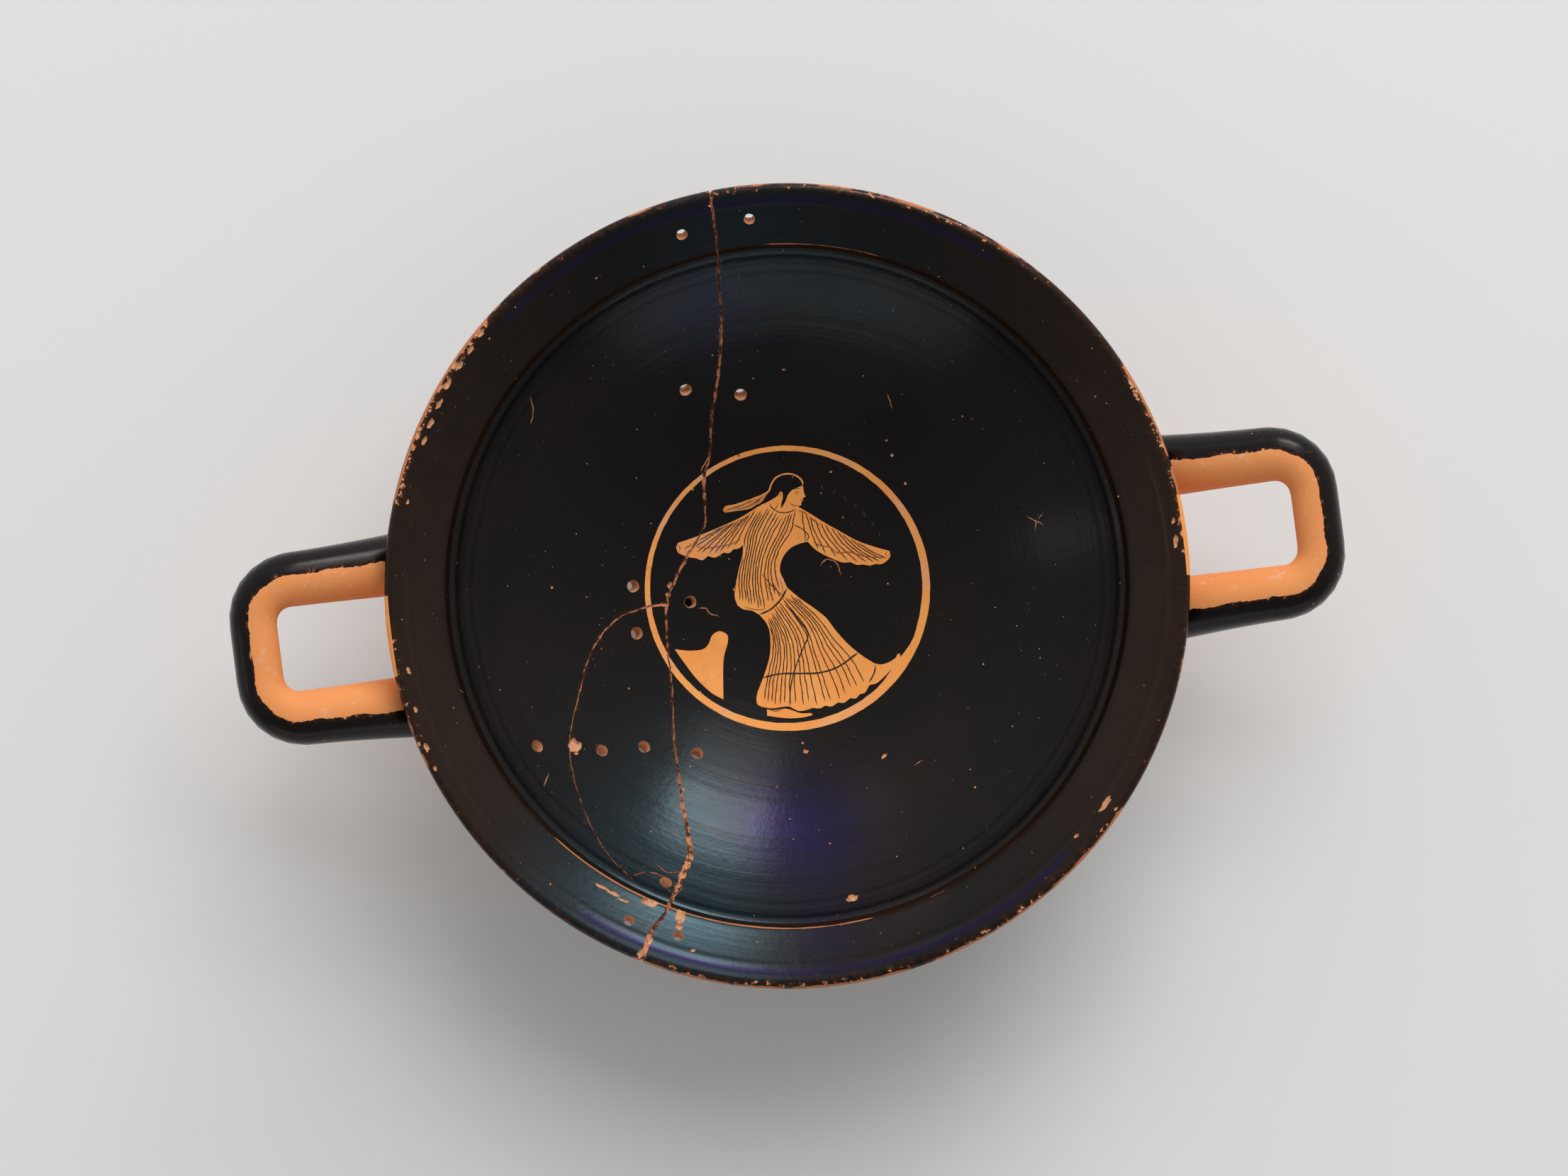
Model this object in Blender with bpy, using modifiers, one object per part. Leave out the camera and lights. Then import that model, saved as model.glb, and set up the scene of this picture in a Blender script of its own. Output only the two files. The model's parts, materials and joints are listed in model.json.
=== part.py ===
"""Wheel-thrown two-handled drinking cup on a low stemmed foot, with old mending holes.

Metres, +Z up. The origin is under the middle of the foot, and the handles lie along X.
The clay was fired as one piece, so the cup is one closed solid: a turned bowl, lip, stem
and foot, two looped handles joined to its wall, and small holes drilled through the wall.
"""

import bpy
import bmesh
from math import atan2, cos, pi, radians, sin, sqrt
from mathutils import Vector

# Bowl and lip
RIM_RADIUS = 0.1025
CUP_HEIGHT = 0.0800
LIP_HEIGHT = 0.0090
LIP_SPREAD = 0.0160
LIP_NOTCH = 0.0007
WALL = 0.0042
RIM_WALL = 0.0033
FLOOR_WALL = 0.0066
BOWL_CURVE = 2.25
BOWL_TOP_SLOPE = radians(46)

# Stem and foot
STEM_HEIGHT = 0.0262
STEM_RADIUS = 0.0115
STEM_TOP_FLARE = 0.0095
FOOT_RADIUS = 0.0410
FOOT_EDGE = 0.0086
FOOT_COLLAR = 0.0012
REST_WIDTH = 0.0070
HOLLOW_DEPTH = 0.0035
HOLLOW_HEIGHT = 0.0175
HOLLOW_RADIUS = 0.0050

# Handles: how far they reach past the rim, their plan width and their thickness
HANDLE_REACH = 0.0400
HANDLE_ARM_SPACING = 0.0356
HANDLE_CORNER = 0.0105
HANDLE_BAR = 0.0120
HANDLE_ARM = 0.0140
HANDLE_ROOT = 0.0205
HANDLE_SPLAY = 0.0020
HANDLE_ROOT_SHARE = 0.80
HANDLE_DROP = 0.0005

# Mending holes: bearing in degrees from +X, then the share of the way up the bowl's or lip's wall
HOLE_RADIUS = 0.0013
BOWL_HOLES = (
    (110.0, 0.67),
    (96.3, 0.60),
    (172.4, 0.47),
    (181.4, 0.30),
    (189.8, 0.48),
    (205.3, 0.885),
    (214.2, 0.745),
    (220.9, 0.65),
    (234.3, 0.575),
    (240.4, 0.95),
)
LIP_HOLES = (
    (99.4, 0.49),
    (88.6, 0.53),
    (237.4, 0.55),
    (245.4, 0.48),
)

# Fineness of the facets
TURN_STEPS = 64
BOWL_POINTS = 9
LIP_POINTS = 5
RIM_POINTS = 5
STEM_POINTS = 4
HOLLOW_POINTS = 4
ARM_POINTS = 6
CORNER_POINTS = 4
HANDLE_SIDES = 12
HOLE_SIDES = 8
MERGE_DISTANCE = 0.00002


def bezier(start, control, end, count):
    """Points of a quadratic curve after its start, up to and with its end."""
    points = []
    for step in range(1, count + 1):
        t = step / count
        points.append(start * (1 - t) ** 2 + control * 2 * t * (1 - t) + end * t ** 2)
    return points


def beside(point, along, distance):
    """The point moved by distance to the left of the direction along."""
    along = along.normalized()
    return point + Vector((-along.y, along.x)) * distance


# The wall's middle line, as (radius, height)

arris_radius = RIM_RADIUS - LIP_SPREAD
arris_height = CUP_HEIGHT - LIP_HEIGHT
bowl_end = Vector((
    arris_radius + WALL / 2 * sin(BOWL_TOP_SLOPE),
    arris_height - WALL / 2 * cos(BOWL_TOP_SLOPE),
))
bowl_bottom = STEM_HEIGHT + FLOOR_WALL / 2
lip_start = Vector((arris_radius + WALL / 2, arris_height))
lip_end = Vector((RIM_RADIUS - RIM_WALL / 2, CUP_HEIGHT - RIM_WALL / 2))
lip_control = lip_start + Vector((LIP_SPREAD * 0.36, LIP_HEIGHT * 0.44))


def bowl_middle(share):
    """Middle of the bowl's wall: its height grows with a power of its radius."""
    rise = bowl_end.y - bowl_bottom
    return Vector((bowl_end.x * share, bowl_bottom + rise * share ** BOWL_CURVE))


def bowl_direction(share):
    rise = bowl_end.y - bowl_bottom
    return Vector((bowl_end.x, rise * BOWL_CURVE * share ** (BOWL_CURVE - 1)))


def bowl_wall(share):
    return FLOOR_WALL + (WALL - FLOOR_WALL) * share


def bowl_side(share, inward):
    """Point on the bowl's face: inward is 1 for the inside and -1 for the outside."""
    point = beside(bowl_middle(share), bowl_direction(share), inward * bowl_wall(share) / 2)
    return Vector((max(point.x, 0.0), point.y))


def lip_middle(share):
    return (
        lip_start * (1 - share) ** 2
        + lip_control * 2 * share * (1 - share)
        + lip_end * share ** 2
    )


def lip_direction(share):
    return (lip_control - lip_start) * (1 - share) + (lip_end - lip_control) * share


def lip_wall(share):
    return WALL + (RIM_WALL - WALL) * share


def lip_side(share, inward):
    return beside(lip_middle(share), lip_direction(share), inward * lip_wall(share) / 2)


def spread(count):
    """Even shares from 0 to 1."""
    return [step / count for step in range(count + 1)]


def inner_line():
    """The inside of the cup, from the middle of its floor to the rim."""
    bowl = [bowl_side(share, 1) for share in spread(BOWL_POINTS)]
    lip = [lip_side(share, 1) for share in spread(LIP_POINTS)[1:]]
    return bowl + lip


def rim_line():
    """Half round over the rim, from its inner to its outer side."""
    along = lip_direction(1)
    start = atan2(along.y, along.x) + pi / 2
    points = []
    for share in spread(RIM_POINTS)[1:-1]:
        turn = start - pi * share
        points.append(lip_end + Vector((cos(turn), sin(turn))) * RIM_WALL / 2)
    return points


def outer_line():
    """The outside, from the rim down over the notch below the lip to the stem."""
    lip = [lip_side(share, -1) for share in reversed(spread(LIP_POINTS)[1:])]
    bowl_top = bowl_side(1, -1)
    notch = bowl_top + Vector((-LIP_NOTCH, LIP_NOTCH))
    lip_foot = lip_side(0, -1)
    stem_share = (STEM_RADIUS + STEM_TOP_FLARE) / bowl_end.x
    shares = [stem_share + (1 - stem_share) * step for step in reversed(spread(BOWL_POINTS - 1))]
    return lip + [lip_foot, notch] + [bowl_side(share, -1) for share in shares]


def foot_line(stem_top):
    """The stem, the foot's top and round edge, its resting ring and the hollow under it."""
    waist = Vector((STEM_RADIUS, (FOOT_EDGE + stem_top.y) / 2))
    collar = Vector((STEM_RADIUS + (FOOT_RADIUS - STEM_RADIUS) * 0.36, FOOT_EDGE + FOOT_COLLAR))
    stem = bezier(stem_top, Vector((STEM_RADIUS, stem_top.y - FOOT_COLLAR)), waist, STEM_POINTS)
    stem += bezier(waist, Vector((STEM_RADIUS, collar.y)), collar, STEM_POINTS)
    edge = FOOT_EDGE / 2
    round_middle = Vector((FOOT_RADIUS - edge, edge))
    foot_top = [Vector((collar.x + FOOT_COLLAR, FOOT_EDGE)), round_middle + Vector((0, edge))]
    foot_round = []
    for turn in (55, 20, -15, -50):
        angle = radians(turn)
        foot_round.append(round_middle + Vector((cos(angle), sin(angle))) * edge)
    rest_outer = Vector((FOOT_RADIUS - edge * 0.6, 0))
    rest_inner = rest_outer - Vector((REST_WIDTH, 0))
    hollow_edge = rest_inner + Vector((-HOLLOW_DEPTH * 0.4, HOLLOW_DEPTH))
    hollow_top = Vector((HOLLOW_RADIUS, HOLLOW_HEIGHT))
    hollow = bezier(hollow_edge, Vector((STEM_RADIUS, HOLLOW_DEPTH * 1.6)), hollow_top, HOLLOW_POINTS)
    apex = Vector((0, HOLLOW_HEIGHT + HOLLOW_RADIUS * 0.3))
    return stem + foot_top + foot_round + [rest_outer, rest_inner, hollow_edge] + hollow + [apex]


def turned(name, points, collection):
    """An object turned about Z from a line of (radius, height) points, top to bottom."""
    mesh = bpy.data.meshes.new(name)
    edges = [(step, step + 1) for step in range(len(points) - 1)]
    mesh.from_pydata([(point.x, 0, point.y) for point in points], edges, [])
    turned_object = bpy.data.objects.new(name, mesh)
    collection.objects.link(turned_object)
    screw = turned_object.modifiers.new("Turning", "SCREW")
    screw.steps = TURN_STEPS
    screw.render_steps = TURN_STEPS
    screw.use_merge_vertices = True
    screw.merge_threshold = MERGE_DISTANCE
    screw.use_smooth_shade = True
    return turned_object


def handle_path():
    """Half of a handle's middle line as (reach, side, half thickness), from its root to its tip."""
    side = HANDLE_ARM_SPACING / 2
    root_radius = bowl_middle(HANDLE_ROOT_SHARE).x
    root = sqrt(root_radius ** 2 - side ** 2)
    tip = RIM_RADIUS + HANDLE_REACH - HANDLE_BAR / 2
    corner = tip - HANDLE_CORNER
    arm_end = corner - (corner - root) / ARM_POINTS / 2
    inside_bowl = root - HANDLE_ROOT * 0.6
    path = [(inside_bowl, side + HANDLE_SPLAY, HANDLE_ROOT / 2)]
    for share in spread(ARM_POINTS):
        flare = (1 - share) ** 1.5
        half = (HANDLE_ARM + (HANDLE_ROOT - HANDLE_ARM) * flare) / 2
        path.append((root + (arm_end - root) * share, side + HANDLE_SPLAY * flare, half))
    for share in spread(CORNER_POINTS):
        angle = pi / 2 * share
        half = (HANDLE_ARM + (HANDLE_BAR - HANDLE_ARM) * share) / 2
        reach = corner + HANDLE_CORNER * sin(angle)
        path.append((reach, side - HANDLE_CORNER * (1 - cos(angle)), half))
    path.append((tip, 0, HANDLE_BAR / 2))
    return path


def handle_height(reach, root, tip):
    """The handle leaves the wall level, climbs, and levels out again near the rim's height."""
    low = bowl_middle(HANDLE_ROOT_SHARE).y
    high = CUP_HEIGHT - HANDLE_DROP - HANDLE_BAR / 2
    share = max(0, (reach - root) / (tip - root))
    eased = share * share * (3 - 2 * share)
    return low + (high - low) * (0.75 * eased + 0.25 * share)


def make_handle(name, direction, collection):
    """A looped handle as a mesh: direction is 1 on the +X side and -1 on the other."""
    half_path = handle_path()
    root = half_path[1][0]
    tip = half_path[-1][0]
    path = half_path + [(reach, -side, half) for reach, side, half in reversed(half_path[:-1])]
    curve = bpy.data.curves.new(name, "CURVE")
    curve.dimensions = "3D"
    curve.bevel_depth = HANDLE_BAR / 2
    curve.bevel_resolution = HANDLE_SIDES // 4 - 1
    curve.use_fill_caps = True
    spline = curve.splines.new("POLY")
    spline.points.add(len(path) - 1)
    for point, (reach, side, half) in zip(spline.points, path):
        point.co = (direction * reach, side, handle_height(reach, root, tip), 1)
        point.radius = half / (HANDLE_BAR / 2)
    tube = bpy.data.objects.new(name + "_curve", curve)
    collection.objects.link(tube)
    bpy.context.view_layer.update()
    evaluated = tube.evaluated_get(bpy.context.evaluated_depsgraph_get())
    mesh = bpy.data.meshes.new_from_object(evaluated)
    shape = bmesh.new()
    shape.from_mesh(mesh)
    bmesh.ops.remove_doubles(shape, verts=shape.verts, dist=MERGE_DISTANCE)
    bmesh.ops.recalc_face_normals(shape, faces=shape.faces)
    shape.to_mesh(mesh)
    shape.free()
    handle = bpy.data.objects.new(name, mesh)
    handle.matrix_world = tube.matrix_world
    collection.objects.link(handle)
    bpy.data.objects.remove(tube)
    return handle


def bowl_core(collection):
    """What would fill the bowl and half its wall: it cuts the handles' ends inside the wall."""
    wall_line = [bowl_middle(share) for share in spread(BOWL_POINTS)]
    above = Vector((bowl_end.x, CUP_HEIGHT + HANDLE_ROOT))
    points = [Vector((0, above.y)), above] + list(reversed(wall_line))
    return turned("bowl_core", points, collection)


def drill(bearing, middle, along, wall, collection):
    """A hole's cutter, square to the wall at middle."""
    outward = Vector((along.y, -along.x)).normalized()
    angle = radians(bearing)
    axis = Vector((outward.x * cos(angle), outward.x * sin(angle), outward.y))
    bpy.ops.mesh.primitive_cylinder_add(
        vertices=HOLE_SIDES,
        radius=HOLE_RADIUS,
        depth=wall * 2,
        location=(middle.x * cos(angle), middle.x * sin(angle), middle.y),
        rotation=axis.to_track_quat("Z", "Y").to_euler(),
    )
    cutter = bpy.context.object
    cutter.name = "mending_hole"
    for owner in list(cutter.users_collection):
        owner.objects.unlink(cutter)
    collection.objects.link(cutter)


def boolean(target, others, operation):
    """Join or cut the target with every object of a collection."""
    modifier = target.modifiers.new(others.name, "BOOLEAN")
    modifier.operand_type = "COLLECTION"
    modifier.collection = others
    modifier.operation = operation
    modifier.solver = "EXACT"


def collection_in(parent, name):
    collection = bpy.data.collections.new(name)
    parent.children.link(collection)
    return collection


def clay_material():
    """Fired clay under a black gloss."""
    material = bpy.data.materials.new("black_gloss")
    material.use_nodes = True
    shader = material.node_tree.nodes["Principled BSDF"]
    shader.inputs["Base Color"].default_value = (0.017, 0.014, 0.015, 1)
    shader.inputs["Roughness"].default_value = 0.32
    shader.inputs["Metallic"].default_value = 0.0
    return material


def build():
    for old in list(bpy.data.objects):
        bpy.data.objects.remove(old)
    cup_collection = collection_in(bpy.context.scene.collection, "drinking_cup")
    cutters = collection_in(bpy.context.scene.collection, "cutters")
    cores = collection_in(cutters, "bowl_core")
    handles = collection_in(cutters, "handles")
    holes = collection_in(cutters, "mending_holes")

    outer = outer_line()
    profile = inner_line() + rim_line() + outer + foot_line(outer[-1])
    cup = turned("drinking_cup", profile, cup_collection)
    cup.data.materials.append(clay_material())

    bowl_core(cores)
    for name, direction in (("handle_right", 1), ("handle_left", -1)):
        boolean(make_handle(name, direction, handles), cores, "DIFFERENCE")
    for bearing, share in BOWL_HOLES:
        drill(bearing, bowl_middle(share), bowl_direction(share), bowl_wall(share), holes)
    for bearing, share in LIP_HOLES:
        drill(bearing, lip_middle(share), lip_direction(share), lip_wall(share), holes)
    boolean(cup, handles, "UNION")
    boolean(cup, holes, "DIFFERENCE")

    for guide in cutters.all_objects:
        guide.hide_render = True
        guide.display_type = "WIRE"


build()
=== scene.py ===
import bpy
import json
import numpy as np
from math import cos, radians, sin
from mathutils import Matrix, Vector
from mathutils.geometry import delaunay_2d_cdt

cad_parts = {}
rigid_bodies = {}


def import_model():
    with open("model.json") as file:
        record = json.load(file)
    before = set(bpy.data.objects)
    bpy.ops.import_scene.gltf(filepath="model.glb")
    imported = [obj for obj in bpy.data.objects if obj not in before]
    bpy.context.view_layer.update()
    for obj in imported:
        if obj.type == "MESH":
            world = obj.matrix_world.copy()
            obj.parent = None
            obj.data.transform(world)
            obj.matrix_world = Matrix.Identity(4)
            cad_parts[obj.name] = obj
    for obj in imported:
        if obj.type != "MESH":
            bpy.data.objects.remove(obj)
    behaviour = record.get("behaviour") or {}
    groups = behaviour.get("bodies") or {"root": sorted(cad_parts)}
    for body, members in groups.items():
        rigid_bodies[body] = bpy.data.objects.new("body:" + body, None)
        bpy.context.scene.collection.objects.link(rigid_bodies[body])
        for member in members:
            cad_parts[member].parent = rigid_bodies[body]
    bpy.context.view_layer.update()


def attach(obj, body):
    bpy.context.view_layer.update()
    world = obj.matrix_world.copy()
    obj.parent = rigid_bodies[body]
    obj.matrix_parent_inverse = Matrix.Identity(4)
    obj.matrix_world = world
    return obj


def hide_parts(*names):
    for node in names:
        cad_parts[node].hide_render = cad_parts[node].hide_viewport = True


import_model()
mm = 0.001

# The thrown cup, in millimetres, as its solid has it
cupSizes = {
    "rimRadius": 102.5,
    "height": 80.0,
    "lipHeight": 9.0,
    "lipSpread": 16.0,
    "lipNotch": 0.7,
    "wall": 4.2,
    "rimWall": 3.3,
    "floorWall": 6.6,
    "bowlCurve": 2.25,
    "bowlTopSlope": radians(46),
    "stemHeight": 26.2,
    "stemRadius": 11.5,
    "stemTopFlare": 9.5,
    "footRadius": 41.0,
    "footEdge": 8.6,
    "footCollar": 1.2,
    "restWidth": 7.0,
    "hollowDepth": 3.5,
    "hollowHeight": 17.5,
    "hollowRadius": 5.0,
    "pictureRadius": 38.5,    # the evenly meshed disc in the floor
    "pictureCells": 128,      # cells along one side of its square grid
    "lipRidge": 0.13,         # relief of the turned ridge inside the lip
}

handleSizes = {
    "reach": 40.0,
    "armSpacing": 35.6,
    "corner": 10.5,
    "bar": 12.0,
    "arm": 14.0,
    "root": 20.5,
    "splay": 2.0,
    "rootShare": 0.80,
    "drop": 0.5,
    "fillet": 1.6,            # swelling where a handle meets the wall
    "around": 36,
    "along": 96,
    "paintEdge": -0.12,       # where black meets clay: -1 is the outer side, 1 the gap side
}

# How the cup lies in its picture, 2000 by 1500 dots, seen from straight above
viewSizes = {
    "middle": (1004.2, 747.1),   # the cup's axis, in dots
    "dot": 0.1991,               # millimetres a dot stands for at the rim
    "distance": 1300.0,          # camera above the rim
    "turn": radians(7.3),        # the picture's width against the line of the handles
}


def unit(vectors):
    # each row divided by its length
    return vectors / np.maximum(np.linalg.norm(vectors, axis=-1, keepdims=True), 1e-12)


def leftOf(points, directions, distance):
    # point plus distance along the direction turned a quarter to the left
    along = unit(directions)
    return points + np.stack([-along[..., 1], along[..., 0]], axis=-1) * np.asarray(distance)[..., None]


def bezierLine(start, control, end, count):
    # start(1-t)^2 + 2 control t(1-t) + end t^2, for t after 0 up to 1
    t = np.linspace(0, 1, count + 1)[1:, None]
    start, control, end = (np.array(point, float) for point in (start, control, end))
    return start * (1 - t) ** 2 + 2 * control * t * (1 - t) + end * t ** 2


def resampled(line, step):
    # the same line with its points an even distance apart
    lengths = np.concatenate([[0], np.cumsum(np.linalg.norm(np.diff(line, axis=0), axis=1))])
    count = max(int(round(lengths[-1] / step)), 1)
    even = np.linspace(0, lengths[-1], count + 1)
    return np.stack([np.interp(even, lengths, line[:, axis]) for axis in range(line.shape[1])], axis=-1)


def curveThrough(points, step=0.5):
    # Catmull-Rom: between p1 and p2, half of (2 p1 + (p2-p0) t + (2p0-5p1+4p2-p3) t^2
    # + (3p1-p0-3p2+p3) t^3), with the end points doubled
    knots = np.array(points, float)
    if len(knots) < 3:
        return resampled(knots, step)
    knots = np.concatenate([2 * knots[:1] - knots[1:2], knots, 2 * knots[-1:] - knots[-2:-1]])
    p0, p1, p2, p3 = (knots[i:len(knots) - 3 + i, None, :] for i in range(4))
    t = np.linspace(0, 1, 16, endpoint=False)[None, :, None]
    parts = 2 * p1 + (p2 - p0) * t + (2 * p0 - 5 * p1 + 4 * p2 - p3) * t ** 2
    parts = (parts + (3 * p1 - p0 - 3 * p2 + p3) * t ** 3) / 2
    return resampled(np.concatenate([parts.reshape(-1, knots.shape[1]), knots[-2:-1]]), step)


def waves(length, pace, seed, count=5):
    # sum of sines of seeded phase and falling strength, about -1 to 1, along a length
    random = np.random.default_rng(seed)
    orders = np.arange(1, count + 1)[:, None]
    phases = random.uniform(0, 2 * np.pi, (count, 1))
    paces = pace * orders ** 1.1 * random.uniform(0.8, 1.25, (count, 1))
    return (np.sin(np.asarray(length)[None, :] * paces + phases) / orders ** 0.6).sum(axis=0) / 2.0


# The wall

def wallLines(sizes):
    # The wall's middle: height = bottom + rise * share^curve in the bowl, and a quadratic
    # curve in the lip. Its two faces stand half the wall's thickness to either side.
    arris = np.array([sizes["rimRadius"] - sizes["lipSpread"], sizes["height"] - sizes["lipHeight"]])
    slope = sizes["bowlTopSlope"]
    bowlEnd = arris + sizes["wall"] / 2 * np.array([np.sin(slope), -np.cos(slope)])
    bottom = sizes["stemHeight"] + sizes["floorWall"] / 2
    share = np.linspace(0, 1, 400)
    rise = bowlEnd[1] - bottom
    power = sizes["bowlCurve"]
    bowl = np.stack([bowlEnd[0] * share, bottom + rise * share ** power], axis=-1)
    bowlAlong = np.stack([np.full_like(share, bowlEnd[0]), rise * power * share ** (power - 1)], axis=-1)
    bowlWall = sizes["floorWall"] + (sizes["wall"] - sizes["floorWall"]) * share
    lipStart = arris + np.array([sizes["wall"] / 2, 0])
    half = sizes["rimWall"] / 2
    lipEnd = np.array([sizes["rimRadius"] - half, sizes["height"] - half])
    control = lipStart + np.array([sizes["lipSpread"] * 0.36, sizes["lipHeight"] * 0.44])
    t = np.linspace(0, 1, 120)[:, None]
    lip = lipStart * (1 - t) ** 2 + 2 * control * t * (1 - t) + lipEnd * t ** 2
    lipAlong = (control - lipStart) * (1 - t) + (lipEnd - control) * t
    lipWall = sizes["wall"] + (sizes["rimWall"] - sizes["wall"]) * t[:, 0]
    return {
        "bowl": bowl,
        "bowlInside": leftOf(bowl, bowlAlong, bowlWall / 2),
        "bowlOutside": leftOf(bowl, bowlAlong, -bowlWall / 2),
        "lipInside": leftOf(lip, lipAlong, lipWall / 2),
        "lipOutside": leftOf(lip, lipAlong, -lipWall / 2),
        "lipEnd": lipEnd,
        "lipTurn": np.arctan2(lipAlong[-1, 1], lipAlong[-1, 0]),
    }


walls = wallLines(cupSizes)
insideFace = np.concatenate([walls["bowlInside"], walls["lipInside"][1:]])
outsideFace = np.concatenate([walls["bowlOutside"], walls["lipOutside"][1:]])
insideFace[0, 0] = 0
outsideFace[0, 0] = 0
insideRadii = np.maximum.accumulate(insideFace[:, 0])
outsideRadii = np.maximum.accumulate(outsideFace[:, 0])


def ridgeRelief(radius):
    # bell curves: a low ridge, the groove beyond it and a sharp edge at the lip's foot, then
    # a shallow groove and a bead under the rim
    def bell(centre, width):
        return np.exp(-((radius - centre) / width) ** 2)
    step = bell(85.2, 0.8) - bell(86.5, 0.4) + 1.1 * bell(87.4, 0.35)
    return cupSizes["lipRidge"] * (step - 1.2 * bell(96.4, 0.7) + 0.8 * bell(98.0, 0.7))


def floorHeight(radius):
    # the inside face's height over a radius, read off the wall's line
    return np.interp(radius, insideRadii, insideFace[:, 1]) + ridgeRelief(radius)


def underHeight(radius):
    # the outside face's height over a radius
    return np.interp(radius, outsideRadii, outsideFace[:, 1])


def throughWall(plan):
    # a plan point of the inside face moved straight through the wall to its outside face
    radius = np.linalg.norm(plan, axis=-1, keepdims=True)
    return plan / np.maximum(radius, 1e-6) * np.interp(radius, insideRadii, outsideFace[:, 0])


def onFace(plan, height):
    # plan points (x, y) lifted to a face, with the upward normal from that face's slope
    radius = np.linalg.norm(plan, axis=-1)
    step = 0.05
    slope = (height(radius + step) - height(np.maximum(radius - step, 0))) / (2 * step)
    outward = plan / np.maximum(radius, 1e-6)[..., None]
    normal = unit(np.concatenate([-outward * slope[..., None], np.ones_like(radius)[..., None]], axis=-1))
    return np.concatenate([plan, height(radius)[..., None]], axis=-1), normal


def seenOnCup(dots):
    # plan position of dots of the picture: what lies deeper looks smaller by its distance to
    # the camera, and the picture is turned against the handles
    sizes = viewSizes
    offset = (np.array(dots, float) - sizes["middle"]) * [sizes["dot"], -sizes["dot"]]
    c, s = cos(sizes["turn"]), sin(sizes["turn"])
    offset = offset @ np.array([[c, -s], [s, c]])
    plan = offset
    for _ in range(6):
        depth = cupSizes["height"] - floorHeight(np.minimum(np.linalg.norm(plan, axis=-1), 101))
        plan = offset * (1 + depth / sizes["distance"])[..., None]
    return plan


# Meshes from whole arrays

def meshFrom(name, vertices, faceGroups):
    # vertices (n, 3) in millimetres, and arrays of faces with as many corners each
    mesh = bpy.data.meshes.new(name)
    corners = np.concatenate([np.asarray(group).ravel() for group in faceGroups]).astype(np.int32)
    totals = np.concatenate([np.full(len(group), np.shape(group)[1]) for group in faceGroups])
    totals = totals.astype(np.int32)
    starts = np.concatenate([[0], np.cumsum(totals)[:-1]]).astype(np.int32)
    mesh.vertices.add(len(vertices))
    mesh.vertices.foreach_set("co", (np.asarray(vertices) * mm).astype(np.float32).ravel())
    mesh.loops.add(len(corners))
    mesh.loops.foreach_set("vertex_index", corners)
    mesh.polygons.add(len(totals))
    mesh.polygons.foreach_set("loop_start", starts)
    mesh.polygons.foreach_set("loop_total", totals)
    mesh.update(calc_edges=True)
    mesh.validate()
    mesh.shade_smooth()
    return mesh


def placed(mesh, collection=None, material=None):
    # an object for a mesh, at the origin
    piece = bpy.data.objects.new(mesh.name, mesh)
    (collection or bpy.context.scene.collection).objects.link(piece)
    if material:
        mesh.materials.append(material)
    return piece


def pointsOf(mesh):
    # the mesh's points as an (n, 3) array in millimetres
    points = np.empty(len(mesh.vertices) * 3, np.float32)
    mesh.vertices.foreach_get("co", points)
    return points.reshape(-1, 3).astype(float) / mm


def store(mesh, name, values):
    # one number for each point, kept with the mesh for its material
    mesh.attributes.new(name, "FLOAT", "POINT").data.foreach_set("value", values.astype(np.float32))


def gridFaces(rows, columns, closed, first=0):
    # four neighbours of a grid of rows by columns, closed where the columns meet again
    index = first + np.arange(rows * columns).reshape(rows, columns)
    following = np.roll(index, -1, axis=1) if closed else index[:, 1:]
    current = index if closed else index[:, :-1]
    return np.stack([current[:-1], current[1:], following[1:], following[:-1]], axis=-1).reshape(-1, 4)


def tubeMesh(name, rows):
    # rows (n, around, 3) of closed rings joined one to the next, with both ends filled
    count, around = rows.shape[:2]
    sides = gridFaces(count, around, True)
    start = np.arange(around)[None, ::-1]
    end = (count - 1) * around + np.arange(around)[None, :]
    mesh = meshFrom(name, rows.reshape(-1, 3), [sides[:, ::-1], start, end])
    return outwardFaces(mesh)


def outwardFaces(mesh):
    # a closed mesh whose volume comes out negative is turned inside out
    points = pointsOf(mesh)
    mesh.calc_loop_triangles()
    triangles = np.empty(len(mesh.loop_triangles) * 3, np.int32)
    mesh.loop_triangles.foreach_get("vertices", triangles)
    a, b, c = points[triangles.reshape(-1, 3)].transpose(1, 0, 2)
    if np.einsum("ij,ij->i", a, np.cross(b, c)).sum() < 0:
        mesh.flip_normals()
    return mesh


def merged(meshes, name):
    # several meshes laid end to end as one
    vertices, groups, total = [], [], 0
    for mesh in meshes:
        corners = np.empty(len(mesh.loops), np.int32)
        mesh.loops.foreach_get("vertex_index", corners)
        totals = np.empty(len(mesh.polygons), np.int32)
        mesh.polygons.foreach_get("loop_total", totals)
        edges = np.concatenate([[0], np.cumsum(totals)])
        for size in np.unique(totals):
            first = edges[:-1][totals == size]
            groups.append(corners[first[:, None] + np.arange(size)] + total)
        vertices.append(pointsOf(mesh))
        total += len(mesh.vertices)
    return meshFrom(name, np.concatenate(vertices), groups)


def booleaned(piece, others, operation):
    # the piece joined with or cut by every object of a collection, as plain faces again
    modifier = piece.modifiers.new(operation.lower(), "BOOLEAN")
    modifier.operand_type = "COLLECTION"
    modifier.collection = others
    modifier.operation = operation
    modifier.solver = "EXACT"
    modifier.material_mode = "TRANSFER"
    bpy.context.view_layer.update()
    evaluated = piece.evaluated_get(bpy.context.evaluated_depsgraph_get())
    name = piece.data.name
    result = bpy.data.meshes.new_from_object(evaluated)
    piece.modifiers.clear()
    piece.data.name = name + "_before"
    piece.data = result
    result.name = name
    return piece


# The bowl, lip, stem and foot

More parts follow.
